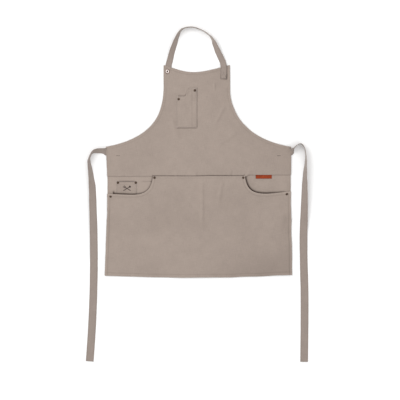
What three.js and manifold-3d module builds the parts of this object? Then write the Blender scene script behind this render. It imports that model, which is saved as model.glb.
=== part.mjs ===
// A bib apron in heavy cotton canvas, lying on its back on a flat surface with its front up.
//
// The upper panel (the bib) and the lower panel (the skirt) meet at a lapped waist seam. The skirt is cut away
// at both upper corners like a pair of jeans, and behind each cut-away hang a facing and a two-ply pocket bag.
// A small riveted coin pocket sits on one facing, a stepped pen pocket on the bib. A neck strap is sewn to one
// corner of the bib. Its other end carries a jeans button that comes through a buttonhole in the other corner.
// A waist tie comes out at each side. The bib and the straps are each parted where they fold.
//
// Frame: millimetres. +Z is up, out of the front. +Y runs from the hem to the bib. The origin is the middle of
// the waist seam, on the surface below the apron. "Left" is the side of -X.

import * as THREE from "three";
import { mergeVertices } from "three/addons/utils/BufferGeometryUtils.js";
import Module from "manifold-3d";

// ---- Cloth ----
const CANVAS = 0.6; // one ply of canvas
const LINING = 0.3; // one ply of pocket lining or bias tape
const WEBBING = 1.2; // the neck strap and the ties
const GAP = 0.3; // clearance between two layers
const HINGE_GAP = 1; // clearance where the bib or a strap is parted at a fold

// ---- Panels ----
const WAIST_WIDTH = 716;
const WAIST_OFFSET = 2.5; // the waist lies a little to the right
const HEM_WIDTH = 731;
const SKIRT_LENGTH = 384.5; // waist seam to hem, at the sides
const HEM_TILT = 1.5; // how much lower the hem's left corner is, and how much higher its right one
const HEM_BELLY = 10; // how much lower the hem is in the middle
const HEM_TURNING = 11; // width of the turned hem
const BIB_HEIGHT = 434; // waist seam to the top corners
const BIB_TOP_WIDTH = 258;
const BIB_TOP_OFFSET = -6.5; // the bib lies a little to the left
const BIB_STRAIGHT = 90; // the straight part of the bib's sides
const NECK_DROP = 28; // how much lower the neckline is at its lowest
const NECK_OFFSET = -22; // its lowest point, from the middle of the apron
const NECK_SPREAD = 10; // how broad its curve is at the lowest point
const SHOULDER_FLARE = 3; // how far the lower ends of the armholes stand out past the waist
const SHOULDER_HEIGHT = 115.5; // waist seam to the lower end of the armholes
const ARMHOLE_FALL = { left: 0.39, right: 0.3 }; // share of the drop each armhole keeps nearly straight
const ARMHOLE_SWEEP = 0.85; // share of the reach over which it runs out low to the shoulder
const SEAM_LAP = 10; // how far one panel laps under the next
const FOLD_HEIGHT = 150; // the bib folds forward here, above the ties
const RIGHT_SEAM_RISE = 6; // the seam over the right pocket is a little higher

// ---- Facings and tapes, behind the panels ----
const NECK_FACING_DEPTH = 36;
const ARMHOLE_TAPE = 11;
const WAIST_BINDING = 14; // the seam allowances, folded together and bound

// ---- Side pockets ----
const SCOOP_START = { left: 180, right: 183.5 }; // from the middle of the waist to each pocket mouth
const SCOOP_DEPTH = { left: 72, right: 68 };
const SCOOP_RISE = { left: 4, right: 10 }; // how much the mouth climbs to the side
const FACING_DEPTH = 104;
const FACING_LAP = 26; // the facing goes on behind the skirt
const BAG_DEPTH = 235;
const BAG_INSET = 25; // from the side edge
const BAG_CORNER = 45;
const BAG_TOP = 34; // the bag's back ply starts this far below the waist
const BAG_SET_BACK = 8; // from the pocket mouth to the bag's front ply

// ---- Coin pocket and pen pocket ----
const COIN_WIDTH = 80;
const COIN_CENTRE = 279.5; // from the middle, on the left
const COIN_TOP = 20.5; // below the waist seam
const COIN_TUCK = 2; // it goes on this far under the skirt
const PEN_LEFT = 84; // from the middle to the pocket's left edge
const PEN_WIDTH = 78;
const PEN_BASE = 190; // above the waist seam
const PEN_LOW = 121; // height of the low side
const PEN_HIGH = 154; // height of the high side
const PEN_LEDGE = 31; // width of the low side
const PEN_SLOPE = 19; // width of the slope between the two

// ---- Seam label ----
const LABEL_WIDTH = 62;
const LABEL_LENGTH = 13;
const LABEL_THICKNESS = 0.8;
const LABEL_CENTRE = 254.5; // from the middle, on the right

// ---- Rivets and button ----
const RIVET_RADIUS = 4.7;
const RIVET_HEIGHT = 1.7;
const RIVET_EDGE = 0.5;
const RIVET_INSET = 8.5; // centre to the pocket's edges
const RIVET_SIDE_INSET = { left: 13.6, right: 16.55 }; // centre to the apron's side
const POST_RADIUS = 1.2;
const FLANGE_RADIUS = 4.2;
const FLANGE = 0.35;
const METAL_GAP = 0.25; // metal to cloth, and cap to post
const BUTTON_RADIUS = 8.5;
const BUTTON_HEIGHT = 3.4;
const BUTTON_HOLLOW = 2.6; // radius of the hollow in the button's face
const SHANK_RADIUS = 3; // the button's neck, which stands on the strap and passes through the bib
const BUTTONHOLE_SLIT = 0.8;
const BUTTONHOLE_REACH = 7.5; // from the shank's middle to the end of the slit

// ---- Neck strap: position across the loop (0 left, 1 right), height above the bib's corners, tilt ----
const STRAP_WIDTH = 24;
const STRAP_INSET = 14.5; // from the bib's left corner to the button
const SEWN_INSET = 24.5; // from the bib's right corner to the sewn end
const BUTTON_DROP = 25; // below the bib's top corner
const STRAP_TAIL = 18; // strap below the button
const STRAP_ROUTE = [
  [0.026, 18, 16],
  [0.062, 50, 29],
  [0.111, 82, 41],
  [0.163, 112, 60],
  [0.218, 134, 78],
  [0.295, 144, 88],
  [0.395, 147.5, 90],
  [0.493, 144, 90],
  [0.613, 133, 90],
  [0.714, 118, 87],
  [0.777, 103, 74],
  [0.826, 80, 46],
  [0.885, 50, 27],
  [0.952, 19, 16],
];
const SEWN_LENGTH = 54; // the strap on the bib, below its corner, at the sewn end
const LOOP_FOLD_RISE = 3; // the loop folds this far above the bib's corners

// ---- Waist ties: distance from the apron's side, height above the waist, tilt ----
const TIE_WIDTH = 30;
const TIE_SEWN = 54; // the sewn end, behind the bib
const TIE_DROP = 20; // from the shoulder to the middle of the tie
const LEFT_TIE_ROUTE = [
  [9, 98, 38],
  [16, 99.5, 50],
  [29, 99.5, 53],
  [41, 98, 60],
  [50.5, 94, 74],
  [57.5, 86, 84],
  [62.5, 74, 82],
  [65, 57, 71],
  [60.5, 28, 60],
  [57, -1, 50],
  [52.5, -46, 30],
  [50.5, -110, 22],
  [47.5, -230, 10],
  [47, -357, 0],
  [49.5, -482, 0],
  [55.5, -610, 0],
  [63, -721, 0],
];
const RIGHT_TIE_ROUTE = [
  [9, 97.5, 40],
  [12.5, 103.5, 72],
  [18.5, 113, 88],
  [25.5, 122.5, 90],
  [33, 127.5, 90],
  [41, 125.5, 90],
  [48, 118, 90],
  [53, 107, 90],
  [55.5, 92, 90],
  [57, 74, 86],
  [56.5, 54, 79],
  [53.5, 7, 63],
  [52.5, -40, 48],
  [52, -87, 38],
  [51, -133, 28],
  [50, -180, 12],
  [48.5, -230, 4],
  [49.5, -330, 0],
  [52.5, -451, 0],
  [52.5, -580, 0],
  [51, -723, 0],
];
const TIE_FOLD_OUT = 4; // from the apron's side to the line where each tie folds

// ---- Levels of the layers, from the surface up ----
const STRAP_Z = FLANGE + METAL_GAP; // the strap's buttoned end lies on the button's tack
const TAPE_Z = STRAP_Z + WEBBING + GAP; // the neckline facing lies on the strap
const BIB_Z = TAPE_Z + LINING + GAP;
const BIB_TOP_Z = BIB_Z + CANVAS;
const OVER_BIB_Z = BIB_TOP_Z + GAP; // the skirt, the pen pocket and the strap's sewn end lie on the bib
const SKIRT_TOP_Z = OVER_BIB_Z + CANVAS;
const FACING_Z = BIB_Z - GAP - CANVAS;
const SEWN_TIE_Z = BIB_Z - GAP - WEBBING;

const CURVE_STEPS = 14;
const SIDE_STEPS = 5; // along each side of the skirt
const LATHE_SIDES = 16;
const LEFT = -1;
const RIGHT = 1;

const wasm = await Module();
wasm.setup();

// ---- Materials ----
const canvas = new THREE.MeshStandardMaterial({ color: 0xa8998a, roughness: 0.95, metalness: 0 });
const lining = new THREE.MeshStandardMaterial({ color: 0xd8d0c2, roughness: 0.95, metalness: 0 });
const webbing = new THREE.MeshStandardMaterial({ color: 0x9f9184, roughness: 0.95, metalness: 0 });
const leather = new THREE.MeshStandardMaterial({ color: 0xa8451c, roughness: 0.6, metalness: 0 });
const copper = new THREE.MeshStandardMaterial({ color: 0x4a3a30, roughness: 0.4, metalness: 1 });
const nickel = new THREE.MeshStandardMaterial({ color: 0xd8cfc6, roughness: 0.3, metalness: 1 });

const apron = new THREE.Group();

function add(name, geometry, material) {
  const mesh = new THREE.Mesh(geometry, material);
  mesh.name = name;
  apron.add(mesh);
  return mesh;
}

// ---- Solids for the joins and cuts ----
function toSolid(geometry) {
  const bare = geometry.clone();
  bare.deleteAttribute("normal");
  bare.deleteAttribute("uv");
  const merged = mergeVertices(bare, 1e-4);
  return new wasm.Manifold(
    new wasm.Mesh({
      numProp: 3,
      vertProperties: merged.attributes.position.array,
      triVerts: new Uint32Array(merged.index.array),
    }),
  );
}

function toGeometry(solid) {
  const mesh = solid.getMesh();
  return new THREE.BufferGeometry()
    .setAttribute("position", new THREE.BufferAttribute(mesh.vertProperties, 3))
    .setIndex(new THREE.BufferAttribute(mesh.triVerts, 1));
}

// ---- Flat cloth ----
function ply(shape, bottom, thickness) {
  const options = { depth: thickness, bevelEnabled: false, curveSegments: CURVE_STEPS };
  return new THREE.ExtrudeGeometry(shape, options).translate(0, 0, bottom);
}

// A hole's outline has to run the other way round from the shape's own.
function pierce(shape, spots, radius) {
  const clockwise = !THREE.ShapeUtils.isClockWise(shape.getPoints());
  for (const [x, y] of spots) {
    const hole = new THREE.Path();
    hole.absarc(x, y, radius, 0, 2 * Math.PI, clockwise);
    shape.holes.push(hole);
  }
  return shape;
}

// A closed outline from corner points.
function polygon(points) {
  return new THREE.Shape(points.map(([x, y]) => new THREE.Vector2(x, y)));
}

// The same points mirrored to one side.
const onSide = (side, points) => points.map(([x, y]) => [side * x, y]);

const named = (side) => (side === RIGHT ? "right" : "left");
const scoopStart = (side) => SCOOP_START[named(side)];
const mouthY = (side) => -SCOOP_DEPTH[named(side)] + SCOOP_RISE[named(side)]; // the pocket mouth at the side
const waistX = (side) => WAIST_WIDTH / 2 + side * WAIST_OFFSET; // the next four are distances from the middle
const shoulderX = WAIST_WIDTH / 2 + SHOULDER_FLARE;
const hemX = HEM_WIDTH / 2;
const sideX = (side, y) => waistX(side) + (hemX - waistX(side)) * (-y / SKIRT_LENGTH) ** 2;
const hemY = (side) => -SKIRT_LENGTH + side * HEM_TILT;
const cornerX = (side) => BIB_TOP_OFFSET + (side * BIB_TOP_WIDTH) / 2;
const seamY = (side) => (side === RIGHT ? RIGHT_SEAM_RISE : 0); // the seam over each pocket

// The armhole: straight down the bib's side, then a sweep out to the shoulder.
function armhole(side) {
  const top = new THREE.Vector2(cornerX(side), BIB_HEIGHT - BIB_STRAIGHT);
  const end = new THREE.Vector2(side * shoulderX, SHOULDER_HEIGHT);
  const drop = top.y - end.y;
  const reach = Math.abs(end.x - top.x);
  const upper = new THREE.Vector2(top.x, top.y - ARMHOLE_FALL[named(side)] * drop);
  const lower = new THREE.Vector2(end.x - side * ARMHOLE_SWEEP * reach, end.y + 0.145 * drop);
  return new THREE.CubicBezierCurve(top, upper, lower, end);
}

// The neckline, from the right corner to the left one.
function neckline(drop = 0) {
  const from = new THREE.Vector2(cornerX(RIGHT), BIB_HEIGHT - drop);
  const to = new THREE.Vector2(cornerX(LEFT), BIB_HEIGHT - drop);
  const low = BIB_HEIGHT - drop - (4 / 3) * NECK_DROP;
  const half = NECK_SPREAD / 2;
  return new THREE.CubicBezierCurve(
    from,
    new THREE.Vector2(NECK_OFFSET + half, low),
    new THREE.Vector2(NECK_OFFSET - half, low),
    to,
  );
}

// The pocket mouth, from the waist seam down and out to the side, set back into the skirt by inset.
function scoop(side, inset = 0) {
  const start = scoopStart(side) - inset;
  const bottom = -SCOOP_DEPTH[named(side)] - inset;
  const curve = new THREE.CubicBezierCurve(
    new THREE.Vector2(side * start, 0),
    new THREE.Vector2(side * (start + 3), 0.74 * bottom),
    new THREE.Vector2(side * (start + 25), bottom),
    new THREE.Vector2(side * (start + 78), bottom),
  );
  return curve.getPoints(CURVE_STEPS);
}

// The part of a solid between two heights.
function between(low, high, geometry) {
  const reach = 2000;
  const box = new THREE.BoxGeometry(reach, high - low, reach).translate(0, (low + high) / 2, 0);
  return toGeometry(toSolid(geometry).intersect(toSolid(box)));
}

// ---- Where the metal goes ----
const rivetSpots = {
  left_scoop_top: [RIVET_INSET - scoopStart(LEFT), -SEAM_LAP / 2],
  right_scoop_top: [scoopStart(RIGHT) - RIVET_INSET, -SEAM_LAP / 2],
  left_scoop_side: [RIVET_SIDE_INSET.left - sideX(LEFT, mouthY(LEFT) - 10), mouthY(LEFT) - 10],
  right_scoop_side: [sideX(RIGHT, mouthY(RIGHT) - 11) - RIVET_SIDE_INSET.right, mouthY(RIGHT) - 11],
  coin_left: [-COIN_CENTRE - COIN_WIDTH / 2 + 6, -COIN_TOP - 4],
  coin_right: [-COIN_CENTRE + COIN_WIDTH / 2 - 5, -COIN_TOP - 4],
  pen_low: [-PEN_LEFT + 6, PEN_BASE + PEN_LOW - 10],
  pen_high: [-PEN_LEFT + PEN_WIDTH - 9, PEN_BASE + PEN_HIGH - 9],
};
const buttonSpot = [cornerX(LEFT) + STRAP_INSET, BIB_HEIGHT - BUTTON_DROP];
const postHole = POST_RADIUS + METAL_GAP;

// A keyhole round the button's neck, with a slit to one side.
function buttonhole(shape) {
  const [x, y] = buttonSpot;
  const eye = SHANK_RADIUS + GAP;
  const open = Math.asin(BUTTONHOLE_SLIT / 2 / eye);
  const clockwise = !THREE.ShapeUtils.isClockWise(shape.getPoints());
  const hole = new THREE.Path();
  if (clockwise) {
    hole.absarc(x, y, eye, 2 * Math.PI - open, open, true);
    hole.lineTo(x + BUTTONHOLE_REACH, y + BUTTONHOLE_SLIT / 2);
    hole.lineTo(x + BUTTONHOLE_REACH, y - BUTTONHOLE_SLIT / 2);
  } else {
    hole.absarc(x, y, eye, open, 2 * Math.PI - open, false);
    hole.lineTo(x + BUTTONHOLE_REACH, y - BUTTONHOLE_SLIT / 2);
    hole.lineTo(x + BUTTONHOLE_REACH, y + BUTTONHOLE_SLIT / 2);
  }
  shape.holes.push(hole);
}

// ---- Panels ----
function bibPanel() {
  const shape = new THREE.Shape();
  const tongue = (side) => scoopStart(side) + 3; // the seam allowance that laps under the skirt
  shape.moveTo(cornerX(LEFT), BIB_HEIGHT - BIB_STRAIGHT);
  const left = armhole(LEFT);
  shape.bezierCurveTo(left.v1.x, left.v1.y, left.v2.x, left.v2.y, left.v3.x, left.v3.y);
  shape.lineTo(-waistX(LEFT), seamY(LEFT));
  shape.lineTo(-tongue(LEFT), seamY(LEFT));
  shape.lineTo(-tongue(LEFT), -SEAM_LAP);
  shape.lineTo(tongue(RIGHT), -SEAM_LAP);
  shape.lineTo(tongue(RIGHT), seamY(RIGHT));
  shape.lineTo(waistX(RIGHT), seamY(RIGHT));
  shape.lineTo(shoulderX, SHOULDER_HEIGHT);
  const right = armhole(RIGHT);
  shape.bezierCurveTo(right.v2.x, right.v2.y, right.v1.x, right.v1.y, right.v0.x, right.v0.y);
  shape.lineTo(cornerX(RIGHT), BIB_HEIGHT);
  const neck = neckline();
  shape.bezierCurveTo(neck.v1.x, neck.v1.y, neck.v2.x, neck.v2.y, neck.v3.x, neck.v3.y);
  const { left_scoop_top, right_scoop_top, pen_low, pen_high } = rivetSpots;
  pierce(shape, [left_scoop_top, right_scoop_top, pen_low, pen_high], postHole);
  buttonhole(shape);
  return ply(shape, BIB_Z, CANVAS);
}

// Down the skirt's left side, along the hem and up its right side, set in by inset.
function skirtEdge(inset = 0) {
  const down = (side) => {
    const points = [];
    for (let i = 0; i <= SIDE_STEPS; i++) {
      const y = mouthY(side) + ((hemY(side) + inset - mouthY(side)) * i) / SIDE_STEPS;
      points.push(new THREE.Vector2(side * (sideX(side, y) - inset), y));
    }
    return points;
  };
  const left = down(LEFT);
  const right = down(RIGHT).reverse();
  const belly = new THREE.Vector2(0, -SKIRT_LENGTH - 2 * HEM_BELLY + inset);
  const hem = new THREE.QuadraticBezierCurve(left[SIDE_STEPS], belly, right[0]);
  return [...left, ...hem.getPoints(CURVE_STEPS).slice(1, -1), ...right];
}

function skirtPanel() {
  const shape = new THREE.Shape([...skirtEdge(), ...scoop(RIGHT).reverse(), ...scoop(LEFT)]);
  const { left_scoop_top, right_scoop_top, left_scoop_side, right_scoop_side } = rivetSpots;
  pierce(shape, [left_scoop_top, right_scoop_top, left_scoop_side, right_scoop_side], postHole);
  // The hem is turned under twice, along the sides and the bottom.
  const hem = new THREE.Shape([...skirtEdge(), ...skirtEdge(HEM_TURNING).reverse()]);
  const panel = toSolid(ply(shape, OVER_BIB_Z, CANVAS));
  return toGeometry(panel.add(toSolid(ply(hem, SKIRT_TOP_Z - 3 * CANVAS, 3 * CANVAS))));
}

// ---- Facings and tapes ----
function neckFacing() {
  const shape = new THREE.Shape();
  const top = neckline();
  const low = neckline(NECK_FACING_DEPTH);
  shape.moveTo(top.v0.x, top.v0.y);
  shape.bezierCurveTo(top.v1.x, top.v1.y, top.v2.x, top.v2.y, top.v3.x, top.v3.y);
  shape.lineTo(low.v3.x, low.v3.y);
  shape.bezierCurveTo(low.v2.x, low.v2.y, low.v1.x, low.v1.y, low.v0.x, low.v0.y);
  buttonhole(shape);
  return ply(shape, TAPE_Z, LINING);
}

// A bias tape that follows the armhole, from the neck facing to just short of the tie.
function armholeTape(side) {
  const curve = armhole(side);
  const stop = 0.9;
  const start = BIB_HEIGHT - NECK_FACING_DEPTH - ARMHOLE_TAPE / 2 - GAP; // clear of the facing's curved edge
  const outer = [new THREE.Vector2(cornerX(side), start)];
  const inner = [new THREE.Vector2(cornerX(side) - side * ARMHOLE_TAPE, outer[0].y)];
  for (let i = 0; i <= CURVE_STEPS; i++) {
    const t = (stop * i) / CURVE_STEPS;
    const p = curve.getPoint(t);
    const d = curve.getTangent(t);
    outer.push(p);
    inner.push(new THREE.Vector2(p.x + side * d.y * ARMHOLE_TAPE, p.y - side * d.x * ARMHOLE_TAPE));
  }
  return ply(new THREE.Shape([...outer, ...inner.reverse()]), TAPE_Z, LINING);
}

function waistBinding() {
  const left = -(scoopStart(LEFT) - FACING_LAP - 1);
  const right = scoopStart(RIGHT) - FACING_LAP - 1;
  const half = WAIST_BINDING / 2;
  return ply(polygon([[left, -half], [right, -half], [right, half], [left, half]]), 0, BIB_Z - GAP);
}

// ---- Side pockets ----
function pocketFacing(side) {
  const mouth = mouthY(side) + 1;
  const inner = scoopStart(side) - FACING_LAP;
  const hemInside = (y) => sideX(side, y) - HEM_TURNING - 1;
  const shape = polygon(
    onSide(side, [
      [inner, seamY(side) + SEAM_LAP],
      [waistX(side) - 1, seamY(side) + SEAM_LAP],
      [waistX(side) - 1, mouth],
      [hemInside(mouth), mouth],
      [hemInside(-FACING_DEPTH), -FACING_DEPTH],
      [inner, -FACING_DEPTH],
    ]),
  );
  const { left_scoop_top, left_scoop_side, coin_left, coin_right } = rivetSpots;
  const { right_scoop_top, right_scoop_side } = rivetSpots;
  const left = [left_scoop_top, left_scoop_side, coin_left, coin_right];
  pierce(shape, side === LEFT ? left : [right_scoop_top, right_scoop_side], postHole);
  return ply(shape, FACING_Z, CANVAS);
}

// The bag's lower edge: down one side, round two corners and up the other.
function bagOutline(side, top) {
  const outer = Math.min(waistX(side), sideX(side, -BAG_DEPTH)) - BAG_INSET;
  const inner = scoopStart(side) - FACING_LAP;
  const corner = BAG_CORNER;
  const shape = new THREE.Shape();
  shape.moveTo(side * outer, top);
  shape.lineTo(side * outer, -BAG_DEPTH + corner);
  shape.quadraticCurveTo(side * outer, -BAG_DEPTH, side * (outer - corner), -BAG_DEPTH);
  shape.lineTo(side * (inner + corner), -BAG_DEPTH);
  shape.quadraticCurveTo(side * inner, -BAG_DEPTH, side * inner, -BAG_DEPTH + corner);
  return shape;
}

function bagBack(side) {
  const shape = bagOutline(side, -BAG_TOP);
  shape.lineTo(side * (scoopStart(side) - FACING_LAP), -BAG_TOP);
  return ply(shape, 0, LINING);
}

// The front ply hangs from the pocket mouth, so its upper edge follows the scoop.
function bagFront(side) {
  const under = scoop(side, BAG_SET_BACK).filter((p) => p.y < -SEAM_LAP - BAG_SET_BACK);
  const shape = bagOutline(side, under[under.length - 1].y);
  shape.lineTo(side * (scoopStart(side) - FACING_LAP), under[0].y);
  for (const p of under) shape.lineTo(p.x, p.y);
  return ply(shape, BIB_Z, LINING);
}

function coinPocket() {
  const left = -COIN_CENTRE - COIN_WIDTH / 2;
  const right = left + COIN_WIDTH;
  const low = -SCOOP_DEPTH.left - COIN_TUCK;
  const shape = polygon([[left, low], [right, low], [right, -COIN_TOP], [left, -COIN_TOP]]);
  pierce(shape, [rivetSpots.coin_left, rivetSpots.coin_right], postHole);
  return ply(shape, BIB_Z, CANVAS);
}

function penPocket() {
  const left = -PEN_LEFT;
  const right = left + PEN_WIDTH;
  const low = PEN_BASE + PEN_LOW;
  const high = PEN_BASE + PEN_HIGH;
  const shape = new THREE.Shape();
  shape.moveTo(left, PEN_BASE);
  shape.lineTo(right, PEN_BASE);
  shape.lineTo(right, high);
  shape.lineTo(left + PEN_LEDGE + PEN_SLOPE, high);
  const middle = left + PEN_LEDGE + PEN_SLOPE / 2;
  shape.bezierCurveTo(middle, high, middle, low, left + PEN_LEDGE, low);
  shape.lineTo(left, low);
  pierce(shape, [rivetSpots.pen_low, rivetSpots.pen_high], postHole);
  return ply(shape, OVER_BIB_Z, CANVAS);
}

// The label is caught in the seam by its upper edge, just below the bib, and it flaps about that edge.
function seamLabel() {
  const top = seamY(RIGHT) - 1.2;
  const left = LABEL_CENTRE - LABEL_WIDTH / 2;
  const right = left + LABEL_WIDTH;
  const low = top - LABEL_LENGTH;
  return ply(polygon([[left, low], [right, low], [right, top], [left, top]]), BIB_Z, LABEL_THICKNESS);
}

// ---- Rivets and button ----
const lathe = (profile) =>
  new THREE.LatheGeometry(
    profile.map(([r, z]) => new THREE.Vector2(r, z)),
    LATHE_SIDES,
  ).rotateX(Math.PI / 2);

// A domed cap on the front, hollow for the post that comes through the cloth from behind.
function rivetCap() {
  const hollow = RIVET_HEIGHT - 0.6;
  return lathe([
    [0, hollow],
    [postHole, hollow],
    [postHole, 0],
    [RIVET_RADIUS, 0],
    [RIVET_RADIUS, RIVET_EDGE],
    [0.75 * RIVET_RADIUS, RIVET_HEIGHT - 0.35],
    [0.35 * RIVET_RADIUS, RIVET_HEIGHT],
    [0, RIVET_HEIGHT],
  ]);
}

// The flange lies behind the cloth, and its post reaches into the cap.
function rivetBack(length) {
  return lathe([
    [0, 0],
    [FLANGE_RADIUS, 0],
    [FLANGE_RADIUS, FLANGE],
    [POST_RADIUS, FLANGE],
    [POST_RADIUS, length],
    [0, length],
  ]);
}

function addRivet(name, [x, y], stackBottom, stackTop) {
  const back = stackBottom - METAL_GAP - FLANGE;
  const capZ = stackTop + METAL_GAP;
  add(`${name}_rivet_cap`, rivetCap().translate(x, y, capZ), copper);
  const length = capZ + RIVET_HEIGHT - 0.6 - METAL_GAP - back;
  add(`${name}_rivet_back`, rivetBack(length).translate(x, y, back), copper);
}

// A ring-shaped jeans button. It turns on the post of its tack.
function addButton() {
  const base = OVER_BIB_Z;
  const top = base + BUTTON_HEIGHT;
  const floor = top - 1.3;
  const hollow = floor - 0.8;
  const cap = lathe([
    [0, hollow],
    [postHole, hollow],
    [postHole, STRAP_Z + WEBBING + METAL_GAP],
    [SHANK_RADIUS, STRAP_Z + WEBBING + METAL_GAP],
    [SHANK_RADIUS, base],
    [0.8 * BUTTON_RADIUS, base],
    [BUTTON_RADIUS, base + 1.1],
    [BUTTON_RADIUS - 0.5, top - 0.7],
    [0.72 * BUTTON_RADIUS, top],
    [BUTTON_HOLLOW + 1.2, top - 0.2],
    [BUTTON_HOLLOW, floor],
    [0, floor],
  ]);
  add("neck_button_cap", cap.translate(...buttonSpot, 0), nickel);
  add("neck_button_tack", rivetBack(hollow - METAL_GAP).translate(...buttonSpot, 0), copper);
}

// ---- Straps ----
const UP = new THREE.Vector3(0, 0, 1);

// A flat band that follows a route of [x, y, tilt, level] on the surface. Tilt is in degrees: at 0 it lies flat
// and at 90 it stands on edge, its left edge up, and level is the height of whatever it lies on.
function band(route, width, thickness, steps) {
  const plan = new THREE.CatmullRomCurve3(route.map(([x, y]) => new THREE.Vector3(x, y, 0)));
  const last = route.length - 1;
  const blend = (k, t) => {
    const i = Math.min(Math.floor(t * last), last - 1);
    return THREE.MathUtils.lerp(route[i][k], route[i + 1][k], t * last - i);
  };
  const corners = [];
  for (let n = 0; n <= steps; n++) {
    const t = n / steps;
    const along = plan.getTangent(t);
    const tilt = THREE.MathUtils.degToRad(blend(2, t));
    const left = new THREE.Vector3().crossVectors(UP, along);
    const across = left.clone().multiplyScalar(Math.cos(tilt)).addScaledVector(UP, Math.sin(tilt));
    const face = left.clone().multiplyScalar(-Math.sin(tilt)).addScaledVector(UP, Math.cos(tilt));
    const middle = plan.getPoint(t);
    middle.z = blend(3, t) + (width * Math.abs(Math.sin(tilt)) + thickness * Math.abs(Math.cos(tilt))) / 2;
    for (const [a, b] of [[1, 1], [1, -1], [-1, -1], [-1, 1]]) {
      const corner = middle.clone().addScaledVector(across, (a * width) / 2);
      corners.push(...corner.addScaledVector(face, (b * thickness) / 2).toArray());
    }
  }
  const faces = [0, 1, 2, 0, 2, 3];
  for (let n = 0; n < steps; n++) {
    for (let i = 0; i < 4; i++) {
      const [a, b] = [4 * n + i, 4 * n + ((i + 1) % 4)];
      faces.push(a, a + 4, b, b, a + 4, b + 4);
    }
  }
  const end = 4 * steps;
  faces.push(end, end + 2, end + 1, end, end + 3, end + 2);
  return new THREE.BufferGeometry()
    .setAttribute("position", new THREE.Float32BufferAttribute(corners, 3))
    .setIndex(faces);
}

// ---- Neck strap ----
function addNeckStrap() {
  const left = buttonSpot[0];
  const right = cornerX(RIGHT) - SEWN_INSET;
  const lean = 0.18; // the buttoned end leans in, towards the middle
  const top = BIB_HEIGHT;
  const foldY = top + LOOP_FOLD_RISE;
  const free = STRAP_ROUTE.map(([u, h, tilt]) => [left + u * (right - left) + 4, top + h, tilt, 0]);
  const strap = band(
    [
      [left - lean * STRAP_TAIL, buttonSpot[1] - STRAP_TAIL, 0, STRAP_Z],
      [left, buttonSpot[1], 0, STRAP_Z],
      [left + lean * (foldY - buttonSpot[1]), foldY, 0, STRAP_Z],
      ...free,
      [right + 1, foldY, 0, OVER_BIB_Z],
      [right, top - SEWN_LENGTH / 2, 0, OVER_BIB_Z],
      [right, top - SEWN_LENGTH, 0, OVER_BIB_Z],
    ],
    STRAP_WIDTH,
    WEBBING,
    84,
  );
  const hole = new THREE.CylinderGeometry(postHole, postHole, 40, LATHE_SIDES).rotateX(Math.PI / 2);
  const pierced = toSolid(strap).subtract(toSolid(hole.translate(...buttonSpot, 0)));
  const far = 1000;
  add("neck_strap_loop", between(foldY, far, toGeometry(pierced)), webbing);
  const [buttoned, sewn] = toSolid(between(0, foldY - HINGE_GAP, toGeometry(pierced)))
    .decompose()
    .sort((a, b) => a.boundingBox().min[0] - b.boundingBox().min[0]);
  add("neck_strap_button_end", toGeometry(buttoned), webbing);
  add("neck_strap_sewn_end", toGeometry(sewn), webbing);
}

// ---- Waist ties ----
// The sewn end lies straight out behind the bib, and the free tie carries on from the fold.
function addTie(side, name, points) {
  const foldX = shoulderX + TIE_FOLD_OUT;
  const sewnY = SHOULDER_HEIGHT - TIE_DROP;
  const start = [side * (foldX - HINGE_GAP), sewnY, 0, SEWN_TIE_Z];
  const sewn = [[side * (shoulderX - TIE_SEWN), sewnY, 0, SEWN_TIE_Z], start];
  const fold = [side * foldX, sewnY, 0, SEWN_TIE_Z];
  const straight = [side * (foldX + 2), sewnY, 0, SEWN_TIE_Z];
  const free = points.map(([out, y, tilt]) => [side * (shoulderX + out), y, side * tilt, 0]);
  add(`${name}_sewn_end`, band(sewn, TIE_WIDTH, WEBBING, 2), webbing);
  add(name, band([fold, straight, ...free], TIE_WIDTH, WEBBING, 60), webbing);
}

// ---- The apron ----
const top = 1000; // past the apron's own top
add("bib_panel", between(FOLD_HEIGHT, top, bibPanel()), canvas);
add("bib_lower_panel", between(-top, FOLD_HEIGHT - HINGE_GAP, bibPanel()), canvas);
add("skirt_panel", skirtPanel(), canvas);
add("neckline_facing", neckFacing(), lining);
add("waist_binding", waistBinding(), lining);
add("coin_pocket", coinPocket(), canvas);
add("pen_pocket", penPocket(), canvas);
add("seam_label", seamLabel(), leather);
for (const [side, name] of [[LEFT, "left"], [RIGHT, "right"]]) {
  const tape = armholeTape(side);
  add(`${name}_armhole_tape`, between(FOLD_HEIGHT, top, tape), lining);
  add(`${name}_armhole_tape_end`, between(0, FOLD_HEIGHT - HINGE_GAP, tape), lining);
  add(`${name}_pocket_facing`, pocketFacing(side), canvas);
  add(`${name}_pocket_bag_back`, bagBack(side), lining);
  add(`${name}_pocket_bag_front`, bagFront(side), lining);
  addRivet(`${name}_scoop_top`, rivetSpots[`${name}_scoop_top`], FACING_Z, SKIRT_TOP_Z);
  addRivet(`${name}_scoop_side`, rivetSpots[`${name}_scoop_side`], FACING_Z, SKIRT_TOP_Z);
}
for (const name of ["coin_left", "coin_right"]) addRivet(name, rivetSpots[name], FACING_Z, BIB_TOP_Z);
for (const name of ["pen_low", "pen_high"]) addRivet(name, rivetSpots[name], BIB_Z, OVER_BIB_Z + CANVAS);
addNeckStrap();
addTie(LEFT, "left_tie", LEFT_TIE_ROUTE);
addTie(RIGHT, "right_tie", RIGHT_TIE_ROUTE);
addButton();

export default apron;
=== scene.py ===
import math

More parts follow.
